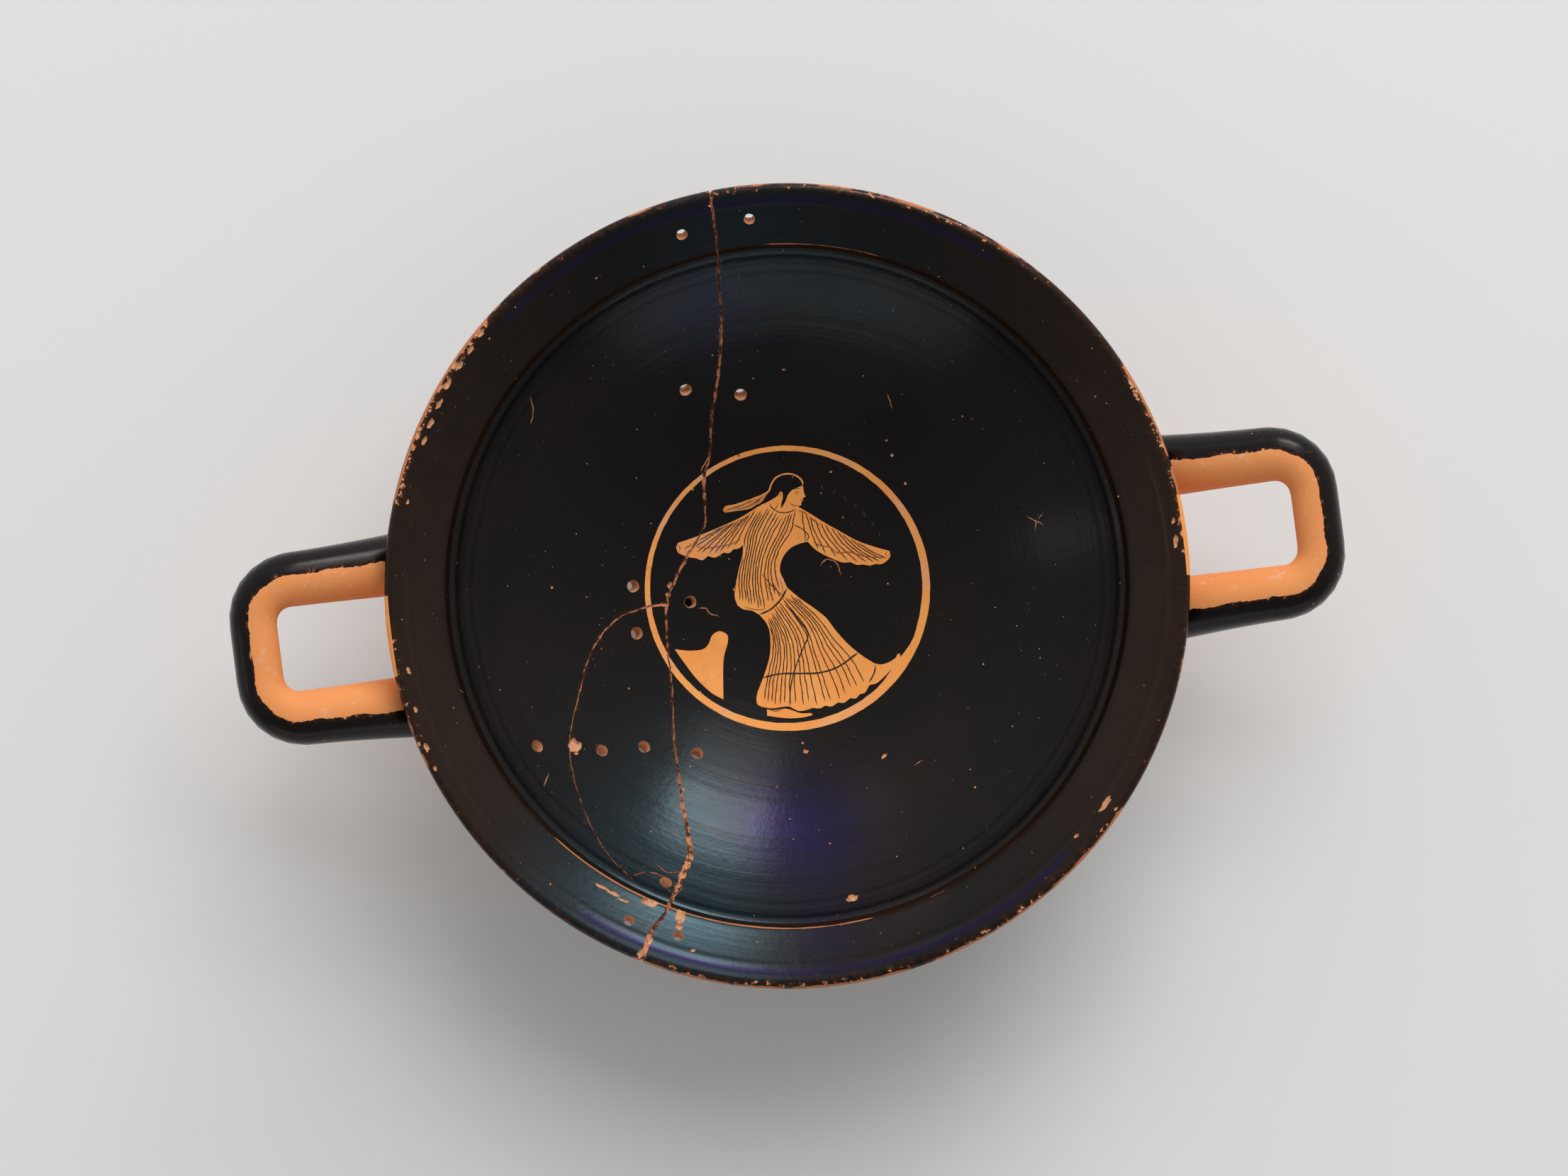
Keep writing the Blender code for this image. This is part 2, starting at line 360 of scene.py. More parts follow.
def stitched(fine, coarse):
    # three triangles from each two steps of the fine ring to one step of the coarse ring
    a0, a1, a2 = fine[0::2], fine[1::2], np.roll(fine, -2)[0::2]
    b0, b1 = coarse, np.roll(coarse, -1)
    return np.concatenate([np.stack(t, axis=-1) for t in ((a0, b0, a1), (a1, b0, b1), (a1, b1, a2))])


def footLine(sizes, stemTop):
    # the stem's two quadratic curves, the foot's top and round edge, its rest and its hollow
    waist = np.array([sizes["stemRadius"], (sizes["footEdge"] + stemTop[1]) / 2])
    collar = np.array([
        sizes["stemRadius"] + (sizes["footRadius"] - sizes["stemRadius"]) * 0.36,
        sizes["footEdge"] + sizes["footCollar"],
    ])
    upper = bezierLine(stemTop, (sizes["stemRadius"], stemTop[1] - sizes["footCollar"]), waist, 12)
    lower = bezierLine(waist, (sizes["stemRadius"], collar[1]), collar, 12)
    edge = sizes["footEdge"] / 2
    middle = np.array([sizes["footRadius"] - edge, edge])
    step = np.array([[collar[0] + 0.25, collar[1] - 0.9]])
    top = np.stack([np.linspace(collar[0] + 1.0, middle[0], 9), np.full(9, sizes["footEdge"])], axis=-1)
    turns = np.radians(np.linspace(78, -62, 12))
    roundEdge = middle + np.stack([np.cos(turns), np.sin(turns)], axis=-1) * edge
    restOuter = np.array([sizes["footRadius"] - edge * 0.6, 0.0])
    restInner = restOuter - np.array([sizes["restWidth"], 0])
    rest = np.linspace(restOuter, restInner, 5)
    hollowEdge = restInner + np.array([-sizes["hollowDepth"] * 0.4, sizes["hollowDepth"]])
    side = np.linspace(restInner, hollowEdge, 4)[1:]
    hollowTop = (sizes["hollowRadius"], sizes["hollowHeight"])
    hollow = bezierLine(hollowEdge, (sizes["stemRadius"], sizes["hollowDepth"] * 1.6), hollowTop, 14)
    dome = np.array([[sizes["hollowRadius"] * 0.45, sizes["hollowHeight"] + sizes["hollowRadius"] * 0.22]])
    return np.concatenate([upper, lower, step, top, roundEdge, rest, side, hollow, dome])


def thrownCup(sizes):
    # A disc of even cells in the floor: x = v2 sin(pi a/4), y = v2 sin(pi b/4) over a square,
    # then (x sqrt(1-y^2/2), y sqrt(1-x^2/2)), lifted to the floor. Round it the wall's line
    # is carried about the axis in rings, down to the hollow under the foot.
    cells = sizes["pictureCells"]
    even = np.sqrt(2) * np.sin(np.pi / 4 * np.linspace(-1, 1, cells + 1))
    x, y = np.meshgrid(even, even, indexing="ij")
    plan = np.stack([x * np.sqrt(1 - y ** 2 / 2), y * np.sqrt(1 - x ** 2 / 2)], axis=-1).reshape(-1, 2)
    disc, _ = onFace(plan * sizes["pictureRadius"], floorHeight)
    vertices = [disc]
    index = np.arange((cells + 1) ** 2).reshape(cells + 1, cells + 1)
    corners = (index[:-1, :-1], index[1:, :-1], index[1:, 1:], index[:-1, 1:])
    faces = [np.stack(corners, axis=-1).reshape(-1, 4)]
    ring = np.concatenate([index[0, :-1], index[:-1, -1], index[-1, :0:-1], index[:0:-1, 0]])[::-1]

    broadRadii = np.arange(sizes["pictureRadius"] + 1.0, 84.0, 1.05)
    floorRadii = np.concatenate([broadRadii, np.arange(84.1, 88.4, 0.2)])
    floorRings = np.stack([floorRadii, floorHeight(floorRadii)], axis=-1)
    lipRings = resampled(walls["lipInside"][walls["lipInside"][:, 0] > 88.5], 0.5)
    lipRings[:, 1] += ridgeRelief(lipRings[:, 0])
    turns = walls["lipTurn"] + np.pi / 2 - np.pi * np.linspace(0, 1, 11)[1:-1]
    rim = walls["lipEnd"] + np.stack([np.cos(turns), np.sin(turns)], axis=-1) * sizes["rimWall"] / 2
    bowlTop = walls["bowlOutside"][-1]
    notch = bowlTop + np.array([-1, 1]) * sizes["lipNotch"]
    outerLip = resampled(walls["lipOutside"][::-1], 1.1)
    fineLine = np.concatenate([floorRings, lipRings, rim, outerLip, [notch], [bowlTop]])
    outside = walls["bowlOutside"]
    stemEdge = sizes["stemRadius"] + sizes["stemTopFlare"]
    coarseLine = resampled(outside[outside[:, 0] > stemEdge][::-1], 1.6)[1:]
    coarseLine = np.concatenate([coarseLine, footLine(sizes, coarseLine[-1])])

    total = len(disc)
    for line, around in ((fineLine, cells * 2), (coarseLine, cells)):
        firstAngle = np.arctan2(*np.concatenate(vertices)[ring[0], 1::-1])
        secondAngle = np.arctan2(*np.concatenate(vertices)[ring[1], 1::-1])
        way = 1 if np.sin(secondAngle - firstAngle) > 0 else -1
        angles = firstAngle + way * 2 * np.pi * np.arange(around) / around
        points = np.stack([
            line[:, :1] * np.cos(angles),
            line[:, :1] * np.sin(angles),
            np.repeat(line[:, 1:], around, axis=1),
        ], axis=-1)
        vertices.append(points.reshape(-1, 3))
        current = total + np.arange(around)
        faces.append(stitched(ring, current)[:, ::way])
        faces.append(gridFaces(len(line), around, True, total)[:, ::way])
        total += len(line) * around
        ring = total - around + np.arange(around)
    apex = np.array([[0, 0, sizes["hollowHeight"] + sizes["hollowRadius"] * 0.3]])
    vertices.append(apex)
    faces.append(np.stack([ring, np.full_like(ring, total), np.roll(ring, -1)], axis=-1)[:, ::way])
    return outwardFaces(meshFrom("glossed_cup", np.concatenate(vertices), faces))


# The handles

def handleMiddle(sizes, cup):
    # straight splayed arms, quarter-round corners and a bar: reach, side, height, half width
    side = sizes["armSpacing"] / 2
    shares = np.linspace(0, 1, 400)
    rootPlace = np.array([np.interp(sizes["rootShare"], shares, walls["bowl"][:, axis]) for axis in (0, 1)])
    root = np.sqrt(rootPlace[0] ** 2 - side ** 2)
    tip = cup["rimRadius"] + sizes["reach"] - sizes["bar"] / 2
    corner = tip - sizes["corner"]
    inner = root - sizes["root"] * 0.6
    share = np.linspace((inner - root) / (corner - root), 1, 60)
    flare = (1 - np.maximum(share, 0)) ** 1.5
    arm = np.stack([
        root + (corner - root) * share,
        side + sizes["splay"] * flare,
        (sizes["arm"] + (sizes["root"] - sizes["arm"]) * flare) / 2,
    ], axis=-1)
    turn = np.linspace(0, np.pi / 2, 24)[1:]
    bend = np.stack([
        corner + sizes["corner"] * np.sin(turn),
        side - sizes["corner"] * (1 - np.cos(turn)),
        (sizes["arm"] + (sizes["bar"] - sizes["arm"]) * turn / (np.pi / 2)) / 2,
    ], axis=-1)
    half = np.concatenate([arm, bend, [[tip, 0, sizes["bar"] / 2]]])
    path = np.concatenate([half, (half * [1, -1, 1])[-2::-1]])
    climb = np.maximum((path[:, 0] - root) / (tip - root), 0)
    high = cup["height"] - sizes["drop"] - sizes["bar"] / 2
    eased = climb ** 2 * (3 - 2 * climb)
    height = rootPlace[1] + (high - rootPlace[1]) * (0.75 * eased + 0.25 * climb)
    middle = resampled(np.stack([path[:, 0], path[:, 1], height, path[:, 2]], axis=-1), 0.5)
    for _ in range(6):    # each pass takes a quarter of both neighbours
        middle[1:-1] = middle[:-2] / 4 + middle[1:-1] / 2 + middle[2:] / 4
    return middle


def handleWays(middle):
    # sideways is level, square to the path and away from the gap; up completes it
    along = unit(np.gradient(middle[:, :3], axis=0))
    sideways = unit(np.stack([-along[:, 1], along[:, 0], np.zeros(len(along))], axis=-1))
    return sideways, np.cross(along, sideways)


def handleTube(sizes, cup, direction):
    # Around the path: middle + half (cos a sideways + sin a up). Every line along the tube
    # starts on the middle of the bowl's wall, so its ends lie inside the wall, and there it
    # swells by fillet * exp(-distance / fillet).
    middle = handleMiddle(sizes, cup)
    sideways, up = handleWays(middle)
    angles = 2 * np.pi * np.arange(sizes["around"]) / sizes["around"]
    ways = sideways[:, None] * np.cos(angles)[None, :, None] + up[:, None] * np.sin(angles)[None, :, None]
    tube = middle[:, None, :3] + ways * middle[:, None, 3:]
    radius = np.linalg.norm(tube[..., :2], axis=-1)
    outside = radius > np.interp(tube[..., 2], walls["bowl"][:, 1], walls["bowl"][:, 0])
    first = np.argmax(outside, axis=0)
    last = len(middle) - 1 - np.argmax(outside[::-1], axis=0)
    share = np.linspace(0, 1, sizes["along"])[:, None]
    share = share - 0.08 * np.sin(2 * np.pi * share)
    place = first + (last - first) * share
    step = np.linalg.norm(np.diff(middle[:, :3], axis=0), axis=1).mean()
    distance = np.minimum(place - first, last - place) * step
    low = np.floor(place).astype(int).clip(0, len(middle) - 2)
    part = (place - low)[..., None]
    columns = np.arange(sizes["around"])[None, :]
    points = tube[low, columns] * (1 - part) + tube[low + 1, columns] * part
    swell = sizes["fillet"] * np.exp(-np.maximum(distance - 2.1, 0) / sizes["fillet"])
    points = points + ways[low, columns] * swell[..., None]
    points[..., :2] *= direction
    return tubeMesh("handle", points)


# Damage: cracks, chips and mending holes, as shapes that cut the clay

# A crack as dots of the picture with the groove's width there, in millimetres
mainCrack = [
    (905, 240, 0.7), (914, 310, 0.4), (919, 390, 0.45), (920, 420, 0.65), (917, 470, 0.7),
    (908, 530, 0.6), (905, 580, 0.5), (898, 610, 0.75), (900, 660, 0.42), (893, 680, 0.55),
    (870, 720, 0.7), (856, 750, 0.8), (850, 775, 0.7), (852, 830, 0.42), (857, 870, 0.4),
    (860, 940, 0.38), (865, 980, 0.5), (870, 1020, 0.65), (877, 1060, 1.1), (880, 1090, 1.6),
    (873, 1110, 1.6), (860, 1140, 1.1), (848, 1165, 0.95), (830, 1190, 1.1), (820, 1222, 1.35),
]
branchCrack = [
    (850, 768, 0.7), (825, 773, 0.55), (795, 783, 0.45), (770, 805, 0.36), (750, 840, 0.32),
    (740, 880, 0.28), (730, 920, 0.22), (727, 945, 0.24), (728, 970, 0.18), (737, 1010, 0.16),
    (755, 1055, 0.16), (780, 1095, 0.16), (808, 1122, 0.2),
]
twigCracks = [
    [(800, 1118, 0.2), (828, 1112, 0.3), (852, 1120, 0.25), (864, 1130, 0.35)],
    [(835, 1100, 0.2), (852, 1112, 0.3), (868, 1112, 0.3)],
    [(846, 1128, 0.25), (862, 1141, 0.3), (872, 1128, 0.2)],
]
# Shallow scratches, each as dots of the picture
scratches = [
    [(1309, 656), (1318, 662), (1333, 669)], [(1322, 661), (1320, 676)], [(1331, 652), (1324, 663)],
    [(1046, 720), (1052, 713), (1063, 713), (1070, 721), (1072, 733)],
    [(890, 774), (901, 774), (906, 781), (918, 785)],
    [(676, 505), (680, 525), (677, 541)], [(1132, 500), (1138, 520)], [(700, 985), (694, 1003)],
    [(893, 602), (906, 576)], [(585, 878), (592, 884)], [(1165, 975), (1178, 968)],
]
# Chips of the gloss and clay: dot of the picture, length, width and depth in millimetres, turn
chips = [
    (1087, 1145, 3.4, 2.2, 0.5, 20), (1028, 957, 1.5, 1.2, 0.35, 0), (1410, 1025, 5.2, 1.6, 0.5, 55),
    (1373, 1066, 1.6, 0.9, 0.3, 40), (830, 1150, 4.6, 2.6, 0.5, -10), (868, 1168, 4.8, 2.8, 0.6, 75),
    (866, 1182, 2.2, 1.6, 0.5, 0), (768, 1131, 4.2, 0.9, 0.25, -30), (782, 1139, 4.4, 1.0, 0.3, -28),
    (795, 1148, 3.2, 0.8, 0.25, -20), (898, 612, 1.9, 1.2, 0.4, 80), (855, 745, 1.9, 1.7, 0.5, 40),
    (852, 757, 1.5, 1.2, 0.45, 0), (899, 628, 0.9, 0.7, 0.3, 0), (849, 770, 2.2, 0.9, 0.3, 10),
    (735, 960, 1.2, 0.9, 0.3, 0), (1500, 690, 3.2, 1.5, 0.5, 85), (1497, 664, 1.7, 1.0, 0.4, 80),
    (818, 1216, 3.0, 1.8, 0.7, 60), (829, 1200, 2.4, 1.4, 0.5, 60), (884, 1212, 1.5, 0.8, 0.3, 0),
    (1443, 487, 2.6, 1.2, 0.4, -60), (1449, 503, 1.8, 1.0, 0.35, -60), (613, 425, 2.4, 1.3, 0.4, 50),
    (600, 446, 2.6, 1.2, 0.4, 55), (586, 466, 3.0, 1.4, 0.5, 55), (571, 490, 3.4, 1.4, 0.5, 60),
    (560, 515, 3.0, 1.3, 0.5, 62), (549, 540, 3.2, 1.3, 0.4, 65), (541, 562, 2.6, 1.2, 0.4, 68),
    (1190, 269, 1.8, 0.9, 0.3, -10), (1268, 305, 2.0, 0.9, 0.3, -28), (1226, 285, 1.6, 0.8, 0.3, -18),
    (521, 855, 2.0, 1.0, 0.4, -75), (530, 905, 1.8, 1.0, 0.3, -70), (544, 953, 2.4, 1.2, 0.4, -62),
    (555, 980, 1.4, 0.9, 0.3, -60), (520, 640, 1.4, 0.8, 0.3, 80), (906, 262, 1.2, 0.8, 0.3, 0),
    (1000, 470, 0.8, 0.6, 0.25, 0), (1131, 560, 0.7, 0.6, 0.25, 0), (704, 748, 0.9, 0.7, 0.25, 0),
    (1024, 946, 0.8, 0.7, 0.25, 0), (872, 1005, 1.0, 0.7, 0.3, 90), (1128, 963, 2.0, 0.9, 0.3, 50),
    (942, 580, 0.8, 0.7, 0.2, 0), (1138, 579, 1.0, 0.8, 0.2, 40), (1060, 600, 0.8, 0.6, 0.2, 0),
    (1155, 615, 0.9, 0.7, 0.2, 60), (937, 750, 1.0, 0.7, 0.25, 80), (1244, 1003, 0.7, 0.6, 0.2, 0),
]
# Mending holes, bored square through the wall: bearing in degrees and share of the way up
mendingHoles = {
    "radius": 1.3,
    "lipRadius": 1.1,
    "flare": 0.35,            # how much wider the chipped mouth is
    "bowl": [
        (110.0, 0.67), (96.3, 0.60), (172.4, 0.47), (181.4, 0.30), (189.8, 0.48),
        (205.3, 0.885), (214.2, 0.745), (220.9, 0.65), (234.3, 0.575), (240.4, 0.95),
    ],
    "lip": [(99.4, 0.49), (88.6, 0.53), (237.4, 0.55), (245.4, 0.48)],
    "plugged": (733, 950),    # a hole filled again, in dots of the picture
}


def grooveRows(points, normals, widths, depth, seed):
    # Rings of three: two points above the face and one below it, so that the wedge is as wide
    # as asked where it meets the face; its line and width waver along its length.
    length = np.concatenate([[0], np.cumsum(np.linalg.norm(np.diff(points, axis=0), axis=1))])
    along = unit(np.gradient(points, axis=0))
    across = unit(np.cross(normals, along))
    wander = 0.14 * waves(length, 0.9, seed) + 0.05 * waves(length, 4.3, seed + 1)
    half = widths / 2 * np.clip(1 + 0.3 * waves(length, 1.6, seed + 2), 0.5, 1.7)
    half = half * np.clip(np.minimum(length, length[-1] - length) / 1.2, 0.15, 1)
    lift = 0.4
    top = half * (depth + lift) / depth
    middle = points + across * wander[:, None]
    return np.stack([
        middle - across * top[:, None] + normals * lift,
        middle + across * top[:, None] + normals * lift,
        middle + across * (half * 0.3 * waves(length, 2.1, seed + 3))[:, None] - normals * depth,
    ], axis=1)


def overFace(plan, step=0.6):
    # a plan line laid on the inside face with points an even distance apart along the face
    fine = resampled(plan, 0.1)
    lifted, _ = onFace(fine[:, :2], floorHeight)
    even = resampled(np.concatenate([lifted, fine[:, 2:]], axis=1), step)
    points, normals = onFace(even[:, :2], floorHeight)
    return points, normals, even[:, 3:]


def overRim(place, outward):
    # half round over the rim at the bearing of a plan point: from the inside when outward is 1
    bearing = np.arctan2(place[1], place[0])
    turns = walls["lipTurn"] + np.pi / 2 - np.pi * np.linspace(0, 1, 9)[::outward]
    level = np.array([cos(bearing), sin(bearing), 0])
    upward = np.array([0, 0, 1])
    ways = np.cos(turns)[:, None] * level + np.sin(turns)[:, None] * upward
    middle = walls["lipEnd"][0] * level + walls["lipEnd"][1] * upward
    return middle + ways * cupSizes["rimWall"] / 2, ways


def crackCutters(name, dots, depth, seed):
    # a crack goes through the wall: a groove on the inside and one on the outside behind it,
    # joined over the rim where the crack reaches it
    dots = np.array(dots, float)
    plan = np.concatenate([seenOnCup(dots[:, :2]), dots[:, 2:]], axis=1)
    line = curveThrough(plan, 0.5)
    points, normals, widths = overFace(line)
    widths = widths[:, 0]
    tubeMeshes = []
    under = throughWall(points[:, :2])
    below, upward = onFace(under, underHeight)
    radius = np.linalg.norm(points[:, :2], axis=1)
    inner = radius < 99.6
    first, last = np.argmax(inner), len(inner) - np.argmax(inner[::-1])
    whole, ways, sizes = points[first:last], normals[first:last], widths[first:last]
    back, backWays, backSizes = below[first:last][::-1], -upward[first:last][::-1], widths[first:last][::-1]
    if radius[-1] > 99.6:
        rimPoints, rimWays = overRim(points[-1], 1)
        whole, ways = np.concatenate([whole, rimPoints, back]), np.concatenate([ways, rimWays, backWays])
        sizes = np.concatenate([sizes, np.full(9, widths[-1]), backSizes])
    else:
        tubeMeshes.append(tubeMesh(name, grooveRows(back, backWays, backSizes, depth, seed + 5)))
    if radius[0] > 99.6:
        rimPoints, rimWays = overRim(points[0], -1)
        whole, ways = np.concatenate([rimPoints, whole]), np.concatenate([rimWays, ways])
        sizes = np.concatenate([np.full(9, widths[0]), sizes])
    tubeMeshes.append(tubeMesh(name, grooveRows(whole, ways, sizes, depth, seed)))
    return tubeMeshes, points[:, :2]


def pitRows(point, normal, radii, depths, seed, stretch=(1, 1), turn=0.0, ragged=0.15):
    # Rings about the normal at the given depths; each ring's radius wavers round its angle.
    around = 22
    random = np.random.default_rng(seed)
    across = unit(np.cross(normal, [sin(0.3), cos(0.3), 0.1]))
    beside = np.cross(normal, across)
    angles = 2 * np.pi * np.arange(around) / around
    uneven = sum(
        random.uniform(0.3, 1) * ragged * np.cos(order * angles + random.uniform(0, 6.28))[None, :]
        for order in (2, 3, 4, 5, 7)
    )
    ring = np.asarray(radii)[:, None] * (1 + uneven * np.linspace(1, 0.5, len(radii))[:, None])
    x, y = ring * np.cos(angles) * stretch[0], ring * np.sin(angles) * stretch[1]
    x, y = x * cos(turn) - y * sin(turn), x * sin(turn) + y * cos(turn)
    return point + x[..., None] * across + y[..., None] * beside - np.asarray(depths)[:, None, None] * normal


def chipRows(dot, length, width, depth, turn, seed):
    # a shallow dish: radius = sqrt(1 - (depth share)^2), its axis square to the face
    point, normal = onFace(seenOnCup([dot]), floorHeight)
    share = np.sin(np.linspace(-0.5, 0.49, 7) * np.pi)
    radii = np.sqrt(1 - share ** 2) + 0.02
    bearing = radians(turn) - viewSizes["turn"]
    across = unit(np.cross(normal[0], [sin(0.3), cos(0.3), 0.1]))
    offset = np.arctan2(across[1], across[0])
    return pitRows(
        point[0] + normal[0] * depth * 0.35, normal[0], radii, share * depth * 1.35, seed,
        (length / 2, width / 2), bearing - offset,
    )


def holeRows(kind, bearing, share, sizes, seed):
    # a bore with chipped mouths: its axis is square to the middle of the wall
    inside, outside = walls[kind + "Inside"], walls[kind + "Outside"]
    shares = np.linspace(0, 1, len(inside))
    inner = np.array([np.interp(share, shares, inside[:, axis]) for axis in (0, 1)])
    outer = np.array([np.interp(share, shares, outside[:, axis]) for axis in (0, 1)])
    angle = radians(bearing)
    place, far = (np.array([p[0] * cos(angle), p[0] * sin(angle), p[1]]) for p in (inner, outer))
    wall = np.linalg.norm(place - far)
    normal = (place - far) / wall
    bore = sizes["radius"] if kind == "bowl" else sizes["lipRadius"]
    wide = bore + sizes["flare"]
    radii = [wide * 1.12, wide, bore * 1.12, bore * 0.98, bore * 0.98, bore * 1.12, wide, wide * 1.12]
    depths = [-0.9, 0, 0.75, 1.3, wall - 1.3, wall - 0.75, wall, wall + 0.9]
    return pitRows(place, normal, radii, depths, seed, ragged=0.02)


def damageShapes(collection, rawLook, crackLook):
    # every cutter placed in the collection; returns the plan lines of the cracks
    meshes, lines = [], []
    for seed, dots in enumerate([mainCrack, branchCrack] + twigCracks):
        made, line = crackCutters("crack", dots, 0.8 if seed == 0 else 0.5, 40 + 10 * seed)
        meshes += made if seed < 2 else made[-1:]
        lines.append(line)
    for seed, dots in enumerate(scratches):
        line = curveThrough(seenOnCup(dots), 0.4)
        points, normals, _ = overFace(np.concatenate([line, line[:, :1]], axis=1), 0.5)
        rows = grooveRows(points, normals, np.full(len(points), 0.24), 0.12, 200 + seed)
        meshes.append(tubeMesh("scratch", rows))
    for seed, chip in enumerate(chips):
        meshes.append(tubeMesh("chip", chipRows(chip[:2], *chip[2:], 300 + seed)))
    for kind in ("bowl", "lip"):
        for seed, (bearing, share) in enumerate(mendingHoles[kind]):
            rows = holeRows(kind, bearing, share, mendingHoles, 400 + seed)
            meshes.append(tubeMesh("mending_hole", rows))
    point, normal = onFace(seenOnCup([mendingHoles["plugged"]]), floorHeight)
    rows = pitRows(point[0], normal[0], [2.0, 1.9, 1.5, 1.3], [-0.9, 0, 0.5, 0.7], 431)
    meshes.append(tubeMesh("plugged_hole", rows))
    for mesh in meshes:
        placed(mesh, collection, crackLook if mesh.name.startswith("crack") else rawLook)
    return lines


# Where colour and wear lie, as numbers for the materials

# Stretches of the rim worn down to the clay: from one dot to another along the picture's
# clockwise turn, reach inward in millimetres, strength, and whether only the outer edge
rimWear = [
    ((512, 640), (620, 405), 0.8, 0.62), ((548, 975), (508, 800), 0.5, 0.45),
    ((1437, 470), (1484, 580), 0.7, 0.55), ((1488, 600), (1508, 705), 0.8, 0.6),
    ((1100, 245), (1300, 328), 0.4, 0.45), ((900, 240), (1100, 243), 0.3, 0.4),
    ((1440, 1040), (1190, 1225), 0.4, 0.5), ((1165, 1232), (815, 1225), 0.4, 0.5),
    ((815, 1225), (560, 1000), 0.25, 0.3), ((620, 405), (900, 240), 0.3, 0.36),
    ((1300, 328), (1437, 470), 0.25, 0.34), ((1508, 705), (1440, 1040), 0.2, 0.3),
]
stepWear = [
    ((985, 322), (1120, 326), 0.9), ((1110, 1170), (720, 1070), 1.0),
    ((1310, 1060), (1180, 1135), 0.7),
]


def bearingOf(dot):
    # the turn about the axis, from the handle side, of a dot of the picture
    place = seenOnCup([dot])[0]
    return np.arctan2(place[1], place[0])


def arcShare(bearings, start, end, soft=0.03):
    # 1 between two bearings, going clockwise from start to end, and falling to 0 outside
    span = (bearingOf(start) - bearingOf(end)) % (2 * np.pi)
    run = (bearingOf(start) - bearings) % (2 * np.pi)
    outside = np.minimum(np.maximum(run - span, 0), 2 * np.pi - run)
    return np.clip(1 - outside / soft, 0, 1) * (run <= np.pi * 2)


def nearest(points, line, chunk=4000):
    # distance from each plan point to the nearest point of a line
    return np.concatenate([
        np.sqrt(((points[i:i + chunk, None, :] - line[None]) ** 2).sum(-1).min(axis=1))
        for i in range(0, len(points), chunk)
    ])


def paintHandles(points, sizes):
    # Millimetres from the painted edge, towards the gap; 0 off the handle to 1 where a point is
    # 0.8 mm proud of the wall; and its place along the handle. Side is the point's offset from
    # the handle's middle along its sideways direction.
    middle = handleMiddle(sizes, cupSizes)
    sideways, _ = handleWays(middle)
    folded = points * np.where(points[:, :1] < 0, [[-1, 1, 1]], [[1, 1, 1]])
    outer = np.interp(points[:, 2], outsideFace[:, 1], outsideRadii)
    proud = np.linalg.norm(points[:, :2], axis=1) - outer
    close = np.flatnonzero((proud > -0.2) & (points[:, 2] > 36))
    clay = np.full(len(points), -9.0)
    span = np.full(len(points), 0.0)
    for part in np.array_split(close, max(len(close) // 3000, 1)):
        gaps = folded[part, None, :] - middle[None, :, :3]
        index = (gaps ** 2).sum(-1).argmin(axis=1)
        offset = (folded[part] - middle[index, :3])
        side = -(offset * sideways[index]).sum(-1)
        clay[part] = side - sizes["paintEdge"] * middle[index, 3]
        proud[part[np.linalg.norm(offset, axis=1) > middle[index, 3] + 2.4]] = -1
        span[part] = index / len(middle)
    return clay, np.clip(proud / 0.8, 0, 1) * (points[:, 2] > 36), span


# Where bare clay and coloured gloss lie, in millimetres
paintSizes = {
    "panelHalf": 14.6,              # the clay panel between a handle's roots
    "panelHeights": (47.5, 61.0),
    "footHeights": (1.0, 7.1),      # the clay edge of the foot
    "footInner": 38.4,
    "restRadii": (30.2, 39.0),      # the ring that the cup stands on
    "restHeight": 0.9,
    "hollowRadii": (12.5, 17.5),    # a clay band under the foot
    "hollowHeight": 9.0,
    "stepRadius": 87.45,            # the line worn along the lip's foot
    "stepWidth": 0.3,
    "violetHighlightRadius": 98.3,           # painted highlight: a violet ring near the rim
}


